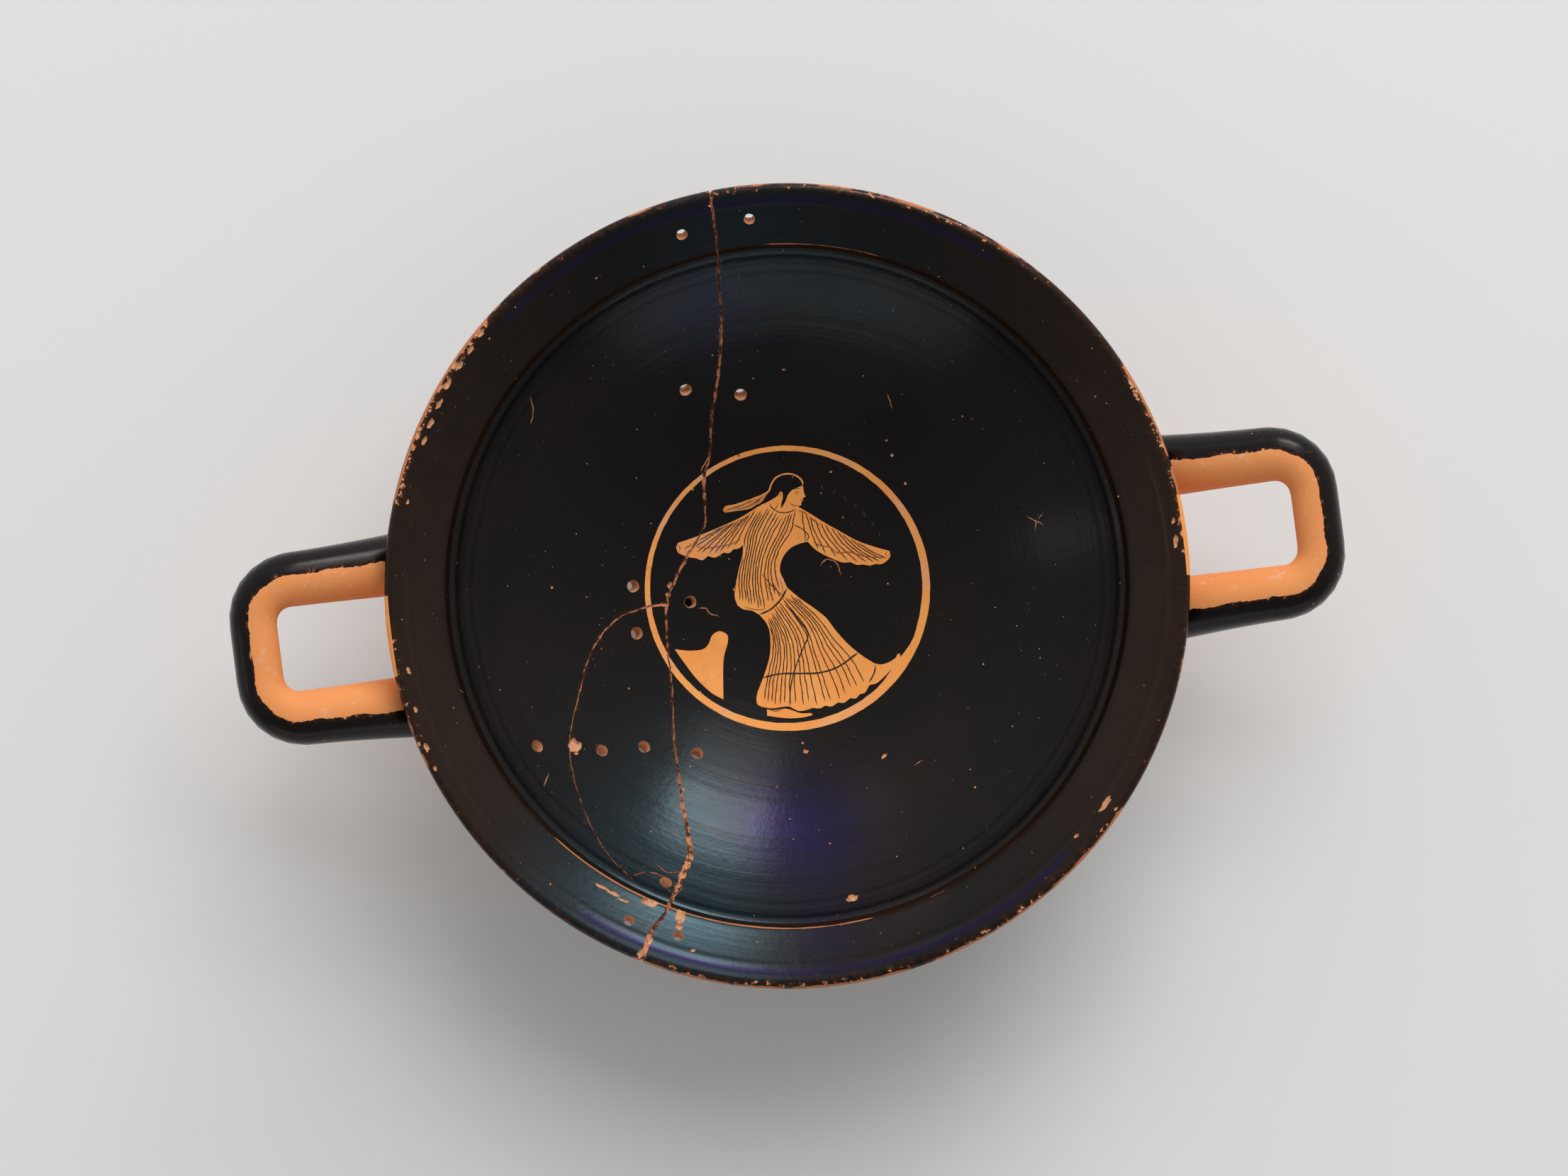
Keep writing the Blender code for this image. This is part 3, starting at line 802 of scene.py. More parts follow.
def paintCup(mesh, crackLines):
    # clay: millimetres inside a reserved, unpainted area; handle: 1 on a handle; worn, strip and
    # stepLine: how far the gloss has gone over all, along the rim's edge and along the lip's
    # foot; edge: near the handles' painted edge; then the tints of the gloss: teal and violet are
    # painted reflections where the lamps are mirrored, brown is partly the gloss's own tone and
    # partly painted reflection
    points = pointsOf(mesh)
    radius = np.linalg.norm(points[:, :2], axis=1)
    bearing = np.arctan2(points[:, 1], points[:, 0])
    height = points[:, 2]
    handleClay, handle, span = paintHandles(points, handleSizes)
    handleClay = handleClay + 0.35 * waves(span * 140, 1.0, 71) - (handle <= 0) * 9
    inner = (np.abs(height - floorHeight(radius)) < 1.2) & (radius < 99.7)
    outerWall = (~inner) & (height > 28)
    side = np.abs(points[:, 1])
    low, high = paintSizes["panelHeights"]
    panel = np.minimum.reduce([paintSizes["panelHalf"] - side, height - low, high - height, radius - 62])
    panel = np.where(outerWall & (handle < 0.5), panel, -9)
    low, high = paintSizes["footHeights"]
    footBand = np.minimum(height - low, high - height) + (radius < paintSizes["footInner"]) * -9
    near, far = paintSizes["restRadii"]
    rest = np.minimum(radius - near, paintSizes["restHeight"] - height) + (radius > far) * -9
    near, far = paintSizes["hollowRadii"]
    hollowBand = np.minimum.reduce([radius - near, far - radius, paintSizes["hollowHeight"] - height])
    clay = np.maximum.reduce([handleClay, panel, footBand, rest, hollowBand])
    store(mesh, "clay", np.clip(clay, -9, 9))
    store(mesh, "handle", handle)

    rimAway = np.hypot(radius - walls["lipEnd"][0], height - walls["lipEnd"][1]) - cupSizes["rimWall"] / 2
    rimAway = np.maximum(rimAway, 0) + (handle > 0.2) * 9
    outerEdge = np.clip((radius - 101.0) / 1.0, 0, 1) * np.exp(-rimAway / 0.8)
    topEdge = np.clip((radius - 99.4) / 1.6, 0, 1) * 0.86
    strip = np.zeros(len(points))
    worn = np.zeros(len(points))
    for start, end, reach, strength in rimWear:
        share = arcShare(bearing, start, end)
        worn = np.maximum(worn, share * strength * np.exp(-(rimAway / reach) ** 2) * topEdge)
        strip = np.maximum(strip, share * outerEdge * min(strength + 0.1, 0.7))
    store(mesh, "strip", strip)
    fromStep = radius - paintSizes["stepRadius"]
    line = 0.62 * np.exp(-(fromStep / paintSizes["stepWidth"]) ** 2) * inner
    for start, end, strength in stepWear:
        step = np.exp(-(fromStep / 0.32) ** 2) * inner
        line = np.maximum(line, arcShare(bearing, start, end, 0.12) * step * strength)
    store(mesh, "stepLine", line)
    crack = nearest(points[:, :2], np.concatenate(crackLines[:2])[::2])
    worn = np.maximum(worn, 0.46 * np.exp(-(crack / 0.6) ** 2) * inner)
    footEdge = np.exp(-((height - 0.2) / 0.8) ** 2) * (radius > 30) * 0.55
    store(mesh, "worn", np.maximum(worn, footEdge))
    store(mesh, "edge", np.where(handle > 0.3, np.exp(-(handleClay / 1.0) ** 2), 0))

    def spot(dot, reach):
        # 1 at a dot of the picture, fading over the reach as exp(-(distance / reach)^2)
        return np.exp(-(((points[:, :2] - seenOnCup([dot])) / reach) ** 2).sum(-1))
    # painted reflections: teal and violet patches of the gloss, laid where the lamps are mirrored in the
    # bowl and on the lip
    violetSheen = spot((1030, 1060), 13) + 0.35 * spot((1060, 1190), 9) + 0.25 * spot((900, 400), 12)
    # painted highlight: a violet ring near the rim, only on the two sides that face the lamps
    ring = np.exp(-((radius - paintSizes["violetHighlightRadius"]) / 0.8) ** 2)
    violetSheen = np.maximum(violetSheen, 0.8 * ring * (np.sin(bearing) ** 2 > 0.6))
    tealSheen = 0.5 * spot((850, 1000), 20) + spot((880, 1180), 24) + 0.7 * spot((940, 280), 22)
    tealSheen = tealSheen + 0.4 * spot((1100, 410), 20) + 0.3 * spot((880, 420), 16) + 0.6 * spot((720, 1130), 17)
    # brown on the lip towards the handles: partly the gloss's own tone, partly painted reflection
    sides = np.clip(np.abs(points[:, 0]) / 92 - 0.35, 0, 1) * np.clip((radius - 86) / 3, 0, 1)
    store(mesh, "violetSheen", np.clip(violetSheen, 0, 1))
    store(mesh, "tealSheen", np.clip(tealSheen, 0, 1))
    store(mesh, "brownToneAndSheen", np.clip(sides * 1.3 * (1 - handle), 0, 1))


# The picture in the floor: x to the right and y up in the picture's own frame, millimetres
# from the middle of its ring. A running robed figure between a rock and the ring.

pictureSizes = {
    "middle": (0.03, -0.34),     # on the cup's plan
    "ringOuter": 37.4,
    "ringInner": 35.7,
    "ringShift": (-0.33, 0.35),  # the inner circle lies off the outer one
    "raised": 0.03,
    "sunk": 0.2,
    "lineRaised": 0.05,
    "torsoPleats": 13,
    "skirtPleats": 18,
    "leftPleats": 9,
    "rightPleats": 11,
    "pleatWidth": 0.30,
}

# The figure's outline as curves joined end to end, from the right shoulder over the face
figureOutline = [
    [(3.1, 21.3), (2.8, 21.7)],
    [(2.8, 21.7), (3.35, 21.75), (3.72, 22.1), (3.55, 22.6)],
    [(3.55, 22.6), (3.95, 22.85), (3.95, 23.1), (3.7, 23.27)],
    [(3.7, 23.27), (4.15, 23.45), (4.05, 23.85)],
    [(4.05, 23.85), (4.75, 24.0), (4.7, 24.25), (4.3, 25.3), (4.2, 26.2), (3.95, 27.0)],
    [(3.95, 27.0), (2.7, 26.5), (1.2, 25.8), (0.1, 24.5), (-0.5, 22.9), (-1.7, 20.9)],
    [(-1.7, 20.9), (-1.6, 22.4), (-1.2, 23.9), (-1.3, 25.2)],
    [(-1.3, 25.2), (-1.9, 25.5), (-2.3, 24.7), (-3.0, 24.0), (-4.0, 23.4), (-5.0, 22.8)],
    [(-5.0, 22.8), (-7.5, 21.6), (-12.4, 18.6), (-18.5, 15.8), (-25.0, 13.2), (-28.8, 11.9)],
    [(-28.8, 11.9), (-29.2, 10.6), (-28.7, 9.3)],
    [(-28.7, 9.3), (-26.4, 8.3), (-24.0, 7.9)], [(-24.0, 7.9), (-22.4, 7.4), (-20.9, 8.5)],
    [(-20.9, 8.5), (-19.0, 8.1), (-16.8, 9.4)], [(-16.8, 9.4), (-15.3, 9.3), (-14.2, 10.3)],
    [(-14.2, 10.3), (-12.8, 10.5), (-11.7, 11.4)],
    [(-11.7, 11.4), (-11.8, 8.8), (-12.6, 5.8), (-13.5, 1.5), (-13.9, -2.0), (-13.2, -4.4)],
    [(-13.2, -4.4), (-11.6, -5.5), (-9.3, -5.9), (-7.3, -7.0)],
    [(-7.3, -7.0), (-5.3, -9.6), (-4.5, -13.0), (-4.7, -18.0),
     (-6.2, -23.0), (-7.9, -27.6), (-8.0, -30.2), (-6.8, -31.1)],
    [(-6.8, -31.1), (-4.0, -31.5), (-1.0, -31.1)], [(-1.0, -31.1), (0.2, -31.0), (1.0, -31.3)],
    [(1.0, -31.3), (3.0, -32.2), (5.2, -31.9), (6.6, -31.4)], [(6.6, -31.4), (8.5, -31.5), (9.9, -30.8)],
    [(9.9, -30.8), (11.6, -31.0), (13.2, -30.0)], [(13.2, -30.0), (14.9, -30.0), (16.5, -28.8)],
    [(16.5, -28.8), (17.9, -28.9), (19.0, -27.8)], [(19.0, -27.8), (20.4, -27.3), (21.5, -25.4)],
    [(21.5, -25.4), (22.3, -25.2), (23.6, -24.8), (25.8, -22.8), (28.3, -20.0), (29.6, -18.0)],
    [(29.6, -18.0), (29.5, -17.2), (28.9, -17.3), (28.3, -18.3),
     (26.6, -19.4), (24.6, -20.0), (22.8, -19.7)],
    [(22.8, -19.7), (19.5, -17.6), (16.0, -14.7), (12.8, -11.2),
     (10.2, -7.8), (7.0, -5.2), (3.4, -2.7), (-0.1, 0.2)],
    [(-0.1, 0.2), (-1.0, 2.3), (-2.0, 4.8), (-1.3, 8.0), (0.7, 10.5), (3.0, 11.7), (5.3, 12.3)],
    [(5.3, 12.3), (7.3, 10.3), (9.7, 8.8), (12.8, 7.4)], [(12.8, 7.4), (14.6, 6.8), (16.6, 6.9)],
    [(16.6, 6.9), (18.2, 6.2), (20.0, 6.3)], [(20.0, 6.3), (21.5, 6.0), (23.2, 6.4)],
    [(23.2, 6.4), (24.8, 6.4), (26.2, 7.3), (27.0, 8.4), (26.8, 9.8)],
    [(26.8, 9.8), (22.6, 11.0), (18.2, 12.6), (13.8, 15.0), (9.4, 17.5), (6.2, 19.5), (3.1, 21.3)],
]
frontFoot = [
    [(-5.4, -31.8), (-5.3, -33.0), (-4.9, -33.5), (0.0, -34.1), (4.0, -33.9), (6.5, -33.3)],
    [(6.5, -33.3), (6.2, -32.8), (3.6, -32.8), (1.4, -32.1), (0.2, -31.7), (-0.8, -31.6)],
    [(-0.8, -31.6), (-3.4, -32.0), (-5.4, -31.8)],
]
rockOutline = [
    [(-29.6, -16.0), (-27.2, -16.3), (-25.0, -16.4), (-22.2, -16.0), (-20.7, -14.6), (-19.8, -12.4),
     (-17.9, -11.3), (-15.9, -12.2), (-15.7, -14.2), (-16.6, -17.6), (-16.9, -21.0), (-16.8, -29.2)],
    [(-16.8, -29.2), (-20.1, -27.3), (-23.9, -23.7), (-27.2, -19.4), (-29.6, -16.0)],
]
hairOutline = [
    [(-5.2, 24.9), (-7.4, 24.0), (-10.6, 22.8), (-13.6, 21.9), (-16.6, 21.2)],
    [(-16.6, 21.2), (-17.0, 20.6), (-16.4, 19.9)],
    [(-16.4, 19.9), (-13.0, 20.4), (-10.0, 20.9), (-8.2, 21.9), (-6.9, 22.6), (-5.2, 24.9)],
]
# Guides between which pleats are spaced, each drawn from its upper end
torsoGuides = [
    [(-8.4, 19.8), (-11.2, 14.4), (-12.1, 8.6), (-13.1, 2.4), (-12.8, -3.9)],
    [(-4.3, 21.2), (-7.6, 15.0), (-9.3, 8.0), (-10.0, 1.5), (-9.3, -4.9)],
    [(-0.6, 19.6), (-3.6, 14.2), (-6.0, 8.6), (-6.8, 2.6), (-5.8, -5.2)],
    [(2.5, 20.7), (1.4, 15.2), (-1.6, 10.6), (-2.8, 5.6), (-1.4, -0.6)],
]
skirtGuides = [
    [(-6.0, -8.2), (-4.2, -12.4), (-4.3, -18.0), (-5.9, -24.4), (-6.7, -30.2)],
    [(-4.0, -5.8), (-0.6, -12.4), (0.4, -18.6), (-0.1, -25.0), (-0.1, -30.6)],
    [(-1.4, -2.8), (4.6, -10.6), (7.0, -18.0), (9.2, -24.4), (10.8, -30.2)],
    [(1.4, -1.4), (8.2, -7.4), (13.2, -13.4), (18.0, -18.6), (21.4, -24.6)],
]
leftGuides = [
    [(-7.9, 21.0), (-10.6, 16.4), (-12.9, 11.3)],
    [(-12.2, 18.4), (-16.6, 13.8), (-21.0, 9.0)],
    [(-17.0, 16.2), (-23.0, 13.0), (-28.2, 10.2)],
]
rightGuides = [
    [(3.2, 20.8), (3.6, 17.0), (3.6, 12.5)],
    [(7.2, 18.6), (9.2, 13.8), (13.4, 7.8)],
    [(12.6, 15.4), (17.0, 10.6), (22.8, 6.8)],
    [(18.6, 12.2), (22.6, 9.8), (26.4, 8.2)],
]
# Single lines: points, width; then the paler lines in thinned gloss
strongLines = [
    ([(-7.3, -6.9), (-4.4, -5.5), (-1.8, -3.0), (-0.2, -0.1)], 0.5),
    ([(-6.4, -23.5), (-2.0, -22.5), (3.4, -22.4), (8.4, -22.2), (13.4, -20.6), (18.6, -16.9)], 0.5),
    ([(-4.6, 22.3), (-4.2, 21.3), (-2.6, 20.2), (-0.8, 19.9), (0.8, 20.2), (2.2, 21.0)], 0.3),
    ([(23.2, -20.1), (22.7, -22.4), (21.4, -24.8)], 0.4),
    ([(0.3, -4.6), (3.2, -8.6), (5.4, -12.2), (4.0, -16.0),
      (2.0, -21.2), (0.8, -26.4), (0.7, -30.8)], 0.36),
    ([(-6.8, 3.8), (-3.8, 0.4), (-0.9, -2.2)], 0.26), ([(-4.2, 2.0), (-2.4, -1.2), (-1.8, -2.8)], 0.26),
    ([(1.6, 16.8), (4.2, 15.4), (5.6, 13.6), (4.6, 12.4)], 0.3),
    ([(1.9, 25.15), (2.5, 25.5), (3.2, 25.3)], 0.24), ([(2.0, 25.1), (2.6, 24.95), (3.2, 25.1)], 0.15),
    ([(2.55, 25.2), (2.75, 25.2)], 0.3), ([(1.6, 26.0), (2.5, 26.3), (3.6, 26.05)], 0.2),
    ([(3.05, 23.25), (3.4, 23.32), (3.75, 23.27)], 0.2), ([(3.85, 24.15), (4.15, 24.2)], 0.16),
    ([(-1.5, 25.0), (-2.0, 24.6), (-1.7, 23.9)], 0.18), ([(0.5, 22.5), (1.6, 21.8), (2.8, 21.7)], 0.2),
    ([(-28.9, 11.6), (-28.2, 10.6), (-28.5, 9.6)], 0.22), ([(26.3, 9.7), (25.8, 9.0), (26.4, 8.4)], 0.22),
    ([(5.7, -33.5), (5.2, -33.1)], 0.2), ([(4.9, -33.6), (4.4, -33.2)], 0.2),
    ([(-4.6, -31.9), (-3.0, -32.3), (-1.0, -31.7)], 0.2),
    ([(-9.0, 23.3), (-12.6, 21.6), (-16.2, 20.5)], 0.22),
    ([(-7.0, 23.4), (-10.2, 21.6), (-13.4, 20.7)], 0.2),
    ([(-6.2, 24.3), (-8.8, 22.4)], 0.2),
]
thinnedLines = [
    ([(-25.8, 11.8), (-22.0, 10.6), (-18.4, 11.0), (-15.0, 11.6), (-12.4, 12.8)], 0.35),
    ([(6.6, 12.2), (9.0, 11.2), (11.2, 10.8), (13.2, 9.4),
      (16.4, 9.5), (19.6, 8.6), (22.8, 8.2), (25.6, 8.0)], 0.4),
    ([(6.0, 18.7), (8.0, 17.0), (8.8, 16.2)], 0.45), ([(2.6, 20.5), (3.9, 20.2), (5.6, 19.0)], 0.4),
    ([(-2.2, 2.6), (-1.3, 0.6), (-1.2, -1.4)], 0.2), ([(-5.6, 1.6), (-4.6, -1.2), (-3.4, -3.4)], 0.2),
    ([(-4.0, 20.4), (-2.9, 21.3), (-2.4, 22.6)], 0.25), ([(1.2, 22.1), (2.6, 21.5)], 0.22),
    ([(-11.4, -4.8), (-8.4, -5.6), (-5.6, -5.4)], 0.3),
]
headContour = [
    (4.05, 27.0), (3.9, 28.0), (2.9, 29.2), (1.0, 30.0), (-1.2, 29.9), (-3.2, 28.9),
    (-4.3, 27.2), (-4.9, 25.6), (-6.4, 24.6), (-9.6, 23.3), (-13.4, 22.0), (-16.7, 21.3),
]


def onPlan(picture):
    # picture coordinates turned and moved onto the cup's plan
    right = np.array([cos(viewSizes["turn"]), -sin(viewSizes["turn"])])
    up = np.array([sin(viewSizes["turn"]), cos(viewSizes["turn"])])
    picture = np.asarray(picture, float)
    return picture[..., :1] * right + picture[..., 1:2] * up + np.array(pictureSizes["middle"])


def joinedCurves(curves, step=0.3):
    # curves joined end to end into one closed loop without its repeated points
    return np.concatenate([curveThrough(curve, step)[:-1] for curve in curves])


def insideOf(points, loop):
    # even-odd rule: a point is inside when a ray from it crosses the loop an odd number of times
    a, b = loop, np.roll(loop, -1, axis=0)
    x, y = points[:, :1], points[:, 1:]
    spans = (a[None, :, 1] > y) != (b[None, :, 1] > y)
    rise = np.where(b[:, 1] == a[:, 1], 1e-9, b[:, 1] - a[:, 1])
    crossing = a[None, :, 0] + (y - a[None, :, 1]) * (b[:, 0] - a[:, 0]) / rise
    return (spans & (x < crossing)).sum(axis=1) % 2 == 1


def slabMesh(name, loop, sizes, spacing=1.3):
    # A thin closed slab on the floor: the loop and a staggered grid of points inside it are
    # joined into triangles, lifted a little above the floor and repeated below it.
    low, high = loop.min(axis=0), loop.max(axis=0)
    x, y = np.meshgrid(np.arange(low[0], high[0], spacing), np.arange(low[1], high[1], spacing * 0.87))
    x = x + (np.arange(len(x)) % 2)[:, None] * spacing / 2
    grid = np.stack([x.ravel(), y.ravel()], axis=-1)
    grid = grid[insideOf(grid, loop)]
    grid = grid[nearest(grid, loop) > spacing * 0.45] if len(grid) else grid
    flat = np.concatenate([loop, grid])
    count = len(loop)
    edges = np.stack([np.arange(count), np.roll(np.arange(count), -1)], axis=-1)
    found = delaunay_2d_cdt(flat.tolist(), edges.tolist(), [], 1, 1e-7)
    plan, faces = np.array(found[0], float), np.array(found[2], int)
    a, b, c = plan[faces].transpose(1, 0, 2)
    turn = (b - a)[:, 0] * (c - a)[:, 1] - (b - a)[:, 1] * (c - a)[:, 0]
    faces = np.where(turn[:, None] < 0, faces[:, ::-1], faces)
    return layered(name, plan, faces, sizes)


def layered(name, plan, faces, sizes):
    # the faces above the floor, the same faces below it, and walls on the edges used once
    floor, normal = onFace(plan, floorHeight)
    total = len(plan)
    sides = np.stack([faces, np.roll(faces, -1, axis=1)], axis=-1).reshape(-1, 2)
    keys = sides[:, 0] * total + sides[:, 1]
    back = sides[:, 1] * total + sides[:, 0]
    rim = sides[~np.isin(keys, back)]
    walls4 = np.stack([rim[:, 1], rim[:, 0], rim[:, 0] + total, rim[:, 1] + total], axis=-1)
    points = np.concatenate([floor + normal * sizes["raised"], floor - normal * sizes["sunk"]])
    return outwardFaces(meshFrom(name, points, [faces, faces[:, ::-1] + total, walls4]))


def ringMesh(sizes, around=420, across=3):
    # An annulus between two circles whose middles differ, the inner edge a little uneven where
    # the brush stroke began and ended.
    angles = 2 * np.pi * np.arange(around) / around
    way = np.stack([np.cos(angles), np.sin(angles)], axis=-1)
    turned = np.degrees(angles)
    stroke = 0.25 * np.exp(-((turned - 337) / 7) ** 2) - 0.75 * np.exp(-((turned - 325) / 8) ** 2)
    inner = sizes["ringInner"] + stroke + 0.05 * waves(angles * 36, 0.9, 11)
    outer = sizes["ringOuter"] + 0.04 * waves(angles * 37, 0.7, 12)
    start = way * inner[:, None] + np.array(sizes["ringShift"])
    end = way * outer[:, None]
    share = np.linspace(0, 1, across + 1)[:, None, None]
    plan = onPlan((start[None] * (1 - share) + end[None] * share).reshape(-1, 2))
    index = np.arange((across + 1) * around).reshape(across + 1, around)
    following = np.roll(index, -1, axis=1)
    faces = np.stack([index[:-1], index[1:], following[1:], following[:-1]], axis=-1).reshape(-1, 4)
    return layered("ring", plan, faces, sizes)


def spacedLines(guides, count, seed, waver=0.12):
    # Lines between guides: each guide is cut into even steps, and a line takes at each step the
    # Catmull-Rom value between its neighbouring guides. Ends start and stop a little unevenly.
    random = np.random.default_rng(seed)
    even = [curveThrough(guide, 0.4) for guide in guides]
    steps = np.linspace(0, 1, 48)
    table = np.stack([
        np.stack([np.interp(steps, np.linspace(0, 1, len(line)), line[:, axis]) for axis in (0, 1)], axis=-1)
        for line in even
    ])
    table = np.concatenate([2 * table[:1] - table[1:2], table, 2 * table[-1:] - table[-2:-1]])
    shares = (np.arange(count) + 0.5 + random.uniform(-0.16, 0.16, count)) / count * (len(guides) - 1)
    low = np.minimum(shares.astype(int), len(guides) - 2)
    t = (shares - low)[:, None, None]
    p0, p1, p2, p3 = (table[low + i] for i in range(4))
    lines = (2 * p1 + (p2 - p0) * t + (2 * p0 - 5 * p1 + 4 * p2 - p3) * t ** 2)
    lines = (lines + (3 * p1 - p0 - 3 * p2 + p3) * t ** 3) / 2
    made = []
    for number, line in enumerate(lines):
        first, last = random.integers(0, 3), 48 - random.integers(0, 3)
        length = np.linspace(0, 30, 48)
        side = waver * waves(length, 0.35, seed * 50 + number)
        made.append((line + np.stack([side, np.zeros(48)], axis=-1))[first:last])
    return made


def ribbonRows(plan, width, sizes):
    # six points round each place of the line, a low ridge: its height and width taper at ends
    floor, normal = onFace(plan, floorHeight)
    along = unit(np.gradient(floor, axis=0))
    across = unit(np.cross(normal, along))
    length = np.concatenate([[0], np.cumsum(np.linalg.norm(np.diff(floor, axis=0), axis=1))])
    taper = np.clip(np.minimum(length, length[-1] - length) / 1.0, 0, 1) * 0.75 + 0.25
    half = width / 2 * taper * (1 + 0.16 * waves(length, 1.3, int(abs(plan[0, 0] * 97)) + 3))
    section = np.array([(-1, 0), (0, -1.2), (1, 0), (0.62, 0.75), (0, 1), (-0.62, 0.75)])
    lift = sizes["raised"] + section[:, 1] * sizes["lineRaised"]
    return (
        floor[:, None] + across[:, None] * (half[:, None] * section[None, :, 0])[..., None]
        + normal[:, None] * lift[None, :, None]
    )


def brokenAt(plan, cracks, gap):
    # the stretches of a line that keep off the cracks
    keep = nearest(plan, cracks) > gap
    bounds = np.flatnonzero(np.diff(np.concatenate([[0], keep.astype(int), [0]])))
    return [plan[a:b] for a, b in zip(bounds[::2], bounds[1::2]) if b - a >= 4]


def ribbonsMesh(name, lines, sizes, cracks):
    # every line as a low closed ridge, broken where a crack passes
    meshes = []
    for points, width in lines:
        plan = onPlan(curveThrough(points, 0.28) if len(points) < 20 else resampled(np.asarray(points), 0.4))
        for part in brokenAt(plan, cracks, 0.45):
            meshes.append(tubeMesh("line", ribbonRows(part, width, sizes)))
    return merged(meshes, name)


def fadedStrokes(radius=28.0, count=7):
    # single leaning strokes at even steps of an arc beside the head, which spell nothing: each
    # is a short line through radius (cos a, sin a), leaning one way and then the other
    angles = np.radians(np.linspace(71, 30, count))
    middles = radius * np.stack([np.cos(angles), np.sin(angles)], axis=-1)
    leans = np.where(np.arange(count) % 2, 0.55, -0.35)
    half = 0.9 * np.stack([np.sin(leans), np.cos(leans)], axis=-1)
    ends = np.stack([middles - half, middles, middles + half], axis=1)
    return [(stroke.tolist(), 0.4) for stroke in ends]


def trimmed(lines, loop, depth):
    # lines kept to their stretch inside the loop, at least depth within it
    made = []
    for line in lines:
        inside = insideOf(line, loop) & (nearest(line, loop) > depth)
        bounds = np.flatnonzero(np.diff(np.concatenate([[0], inside.astype(int), [0]])))
        made += [line[a:b] for a, b in zip(bounds[::2], bounds[1::2]) if b - a >= 6]
    return made


# Materials

class Recipe:
    # short words for laying out a material's nodes
    def __init__(self, name):
        self.material = bpy.data.materials.new(name)
        self.material.use_nodes = True
        self.tree = self.material.node_tree
        self.shader = self.tree.nodes["Principled BSDF"]
        place = self.node("TexCoord").outputs["Object"]
        self.place = self.node("VectorMath", {0: place}, operation="SCALE").outputs[0]
        self.place.node.inputs["Scale"].default_value = 1000

    def node(self, kind, inputs=(), **settings):
        # a node with its settings, each input linked or set
        made = self.tree.nodes.new("ShaderNode" + kind)
        for key, value in settings.items():
            setattr(made, key, value)
        for key, value in dict(inputs).items():
            if isinstance(value, bpy.types.NodeSocket):
                self.tree.links.new(value, made.inputs[key])
            else:
                made.inputs[key].default_value = value
        return made

    def calc(self, operation, first, second=0.0, third=0.0):
        # one sum on up to three numbers
        inputs = {0: first, 1: second, 2: third}
        return self.node("Math", inputs, operation=operation).outputs[0]

    def number(self, name):
        # a number kept at each point of the mesh
        return self.node("Attribute", attribute_name=name).outputs["Fac"]

    def noise(self, scale, detail=2.0, roughness=0.5):
        # uneven patches, scale to the millimetre
        inputs = {"Vector": self.place, "Scale": scale, "Detail": detail, "Roughness": roughness}
        return self.node("TexNoise", inputs).outputs[0]

    def rings(self, along, scale, detail=2.0):
        # noise of one number alone: rings when that number is the distance from the axis
        inputs = {"W": along, "Scale": scale, "Detail": detail}
        return self.node("TexNoise", inputs, noise_dimensions="1D").outputs[0]

    def step(self, value, low, high):
        # 0 below low to 1 above high, eased at both ends
        inputs = {"Value": value, "From Min": low, "From Max": high}
        return self.node("MapRange", inputs, interpolation_type="SMOOTHSTEP").outputs[0]

    def between(self, share, first, second):
        # colours with the share of the second
        made = self.node("Mix", {0: share}, data_type="RGBA")
        for socket, value in ((made.inputs[6], first), (made.inputs[7], second)):
            if isinstance(value, bpy.types.NodeSocket):
                self.tree.links.new(value, socket)
            else:
                socket.default_value = (*value, 1)
        return made.outputs[2]

    def blend(self, share, first, second):
        # numbers with the share of the second
        return self.node("Mix", {0: share, 2: first, 3: second}, data_type="FLOAT").outputs[0]

    def specks(self, spacing, size, keep, stretch=(1, 1, 1)):
        # dots in some of the cells of a scattered grid: 1 in a dot
        place = self.node("VectorMath", {0: self.place, 1: stretch}, operation="MULTIPLY").outputs[0]
        warp = self.noise(1.5 / spacing, 1.0)
        cells = self.node("TexVoronoi", {"Vector": place, "Scale": 1 / spacing, "Randomness": 1.0})
        chance = self.node("SeparateColor", {0: cells.outputs["Color"]})
        reach = self.calc("MULTIPLY_ADD", chance.outputs[1], size, size * 0.35)
        reach = self.calc("MULTIPLY", reach, self.calc("MULTIPLY_ADD", warp, 1.6, 0.2))
        dot = self.step(self.calc("SUBTRACT", reach, cells.outputs["Distance"]), 0.0, size * 0.25)
        return self.calc("MULTIPLY", dot, self.calc("LESS_THAN", chance.outputs[0], keep))

    def finish(self, colour, roughness, height=None, relief=0.05, **constants):
        # the shader's sockets, with the height as a bump of so many millimetres
        self.tree.links.new(colour, self.shader.inputs["Base Color"])
        self.tree.links.new(roughness, self.shader.inputs["Roughness"])
        for key, value in constants.items():
            socket = self.shader.inputs[key.replace("_", " ")]
            if isinstance(value, bpy.types.NodeSocket):
                self.tree.links.new(value, socket)
            else:
                socket.default_value = value
        if height is not None:
            bump = self.node("Bump", {"Height": height, "Distance": relief * mm, "Strength": 1.0})
            self.tree.links.new(bump.outputs[0], self.shader.inputs["Normal"])
        return self.material


clayColours = {
    "clay": (0.98, 0.360, 0.085),
    "clayPale": (0.99, 0.42, 0.110),
    "clayDull": (0.76, 0.245, 0.065),
    "raw": (0.64, 0.255, 0.105),
    "rawPale": (0.72, 0.40, 0.235),
    "rawDark": (0.26, 0.095, 0.045),
    "edge": (0.54, 0.190, 0.075),
    "handle": (0.84, 0.315, 0.110),
    "crackDark": (0.10, 0.040, 0.022),
    "crackPale": (0.86, 0.39, 0.19),
}
# teal and violet stand for the lamps' reflections, painted into the gloss's colour; brown is partly the
# gloss's own tone, partly painted reflection
glossColours = {
    "black": (0.021, 0.0185, 0.0190),
    "brownToneAndSheen": (0.052, 0.032, 0.024),
    "tealSheen": (0.021, 0.039, 0.048),
    "violetSheen": (0.026, 0.018, 0.070),
    "metal": 0.85,
    "roughness": 0.22,
    "specular": 0.32,
}


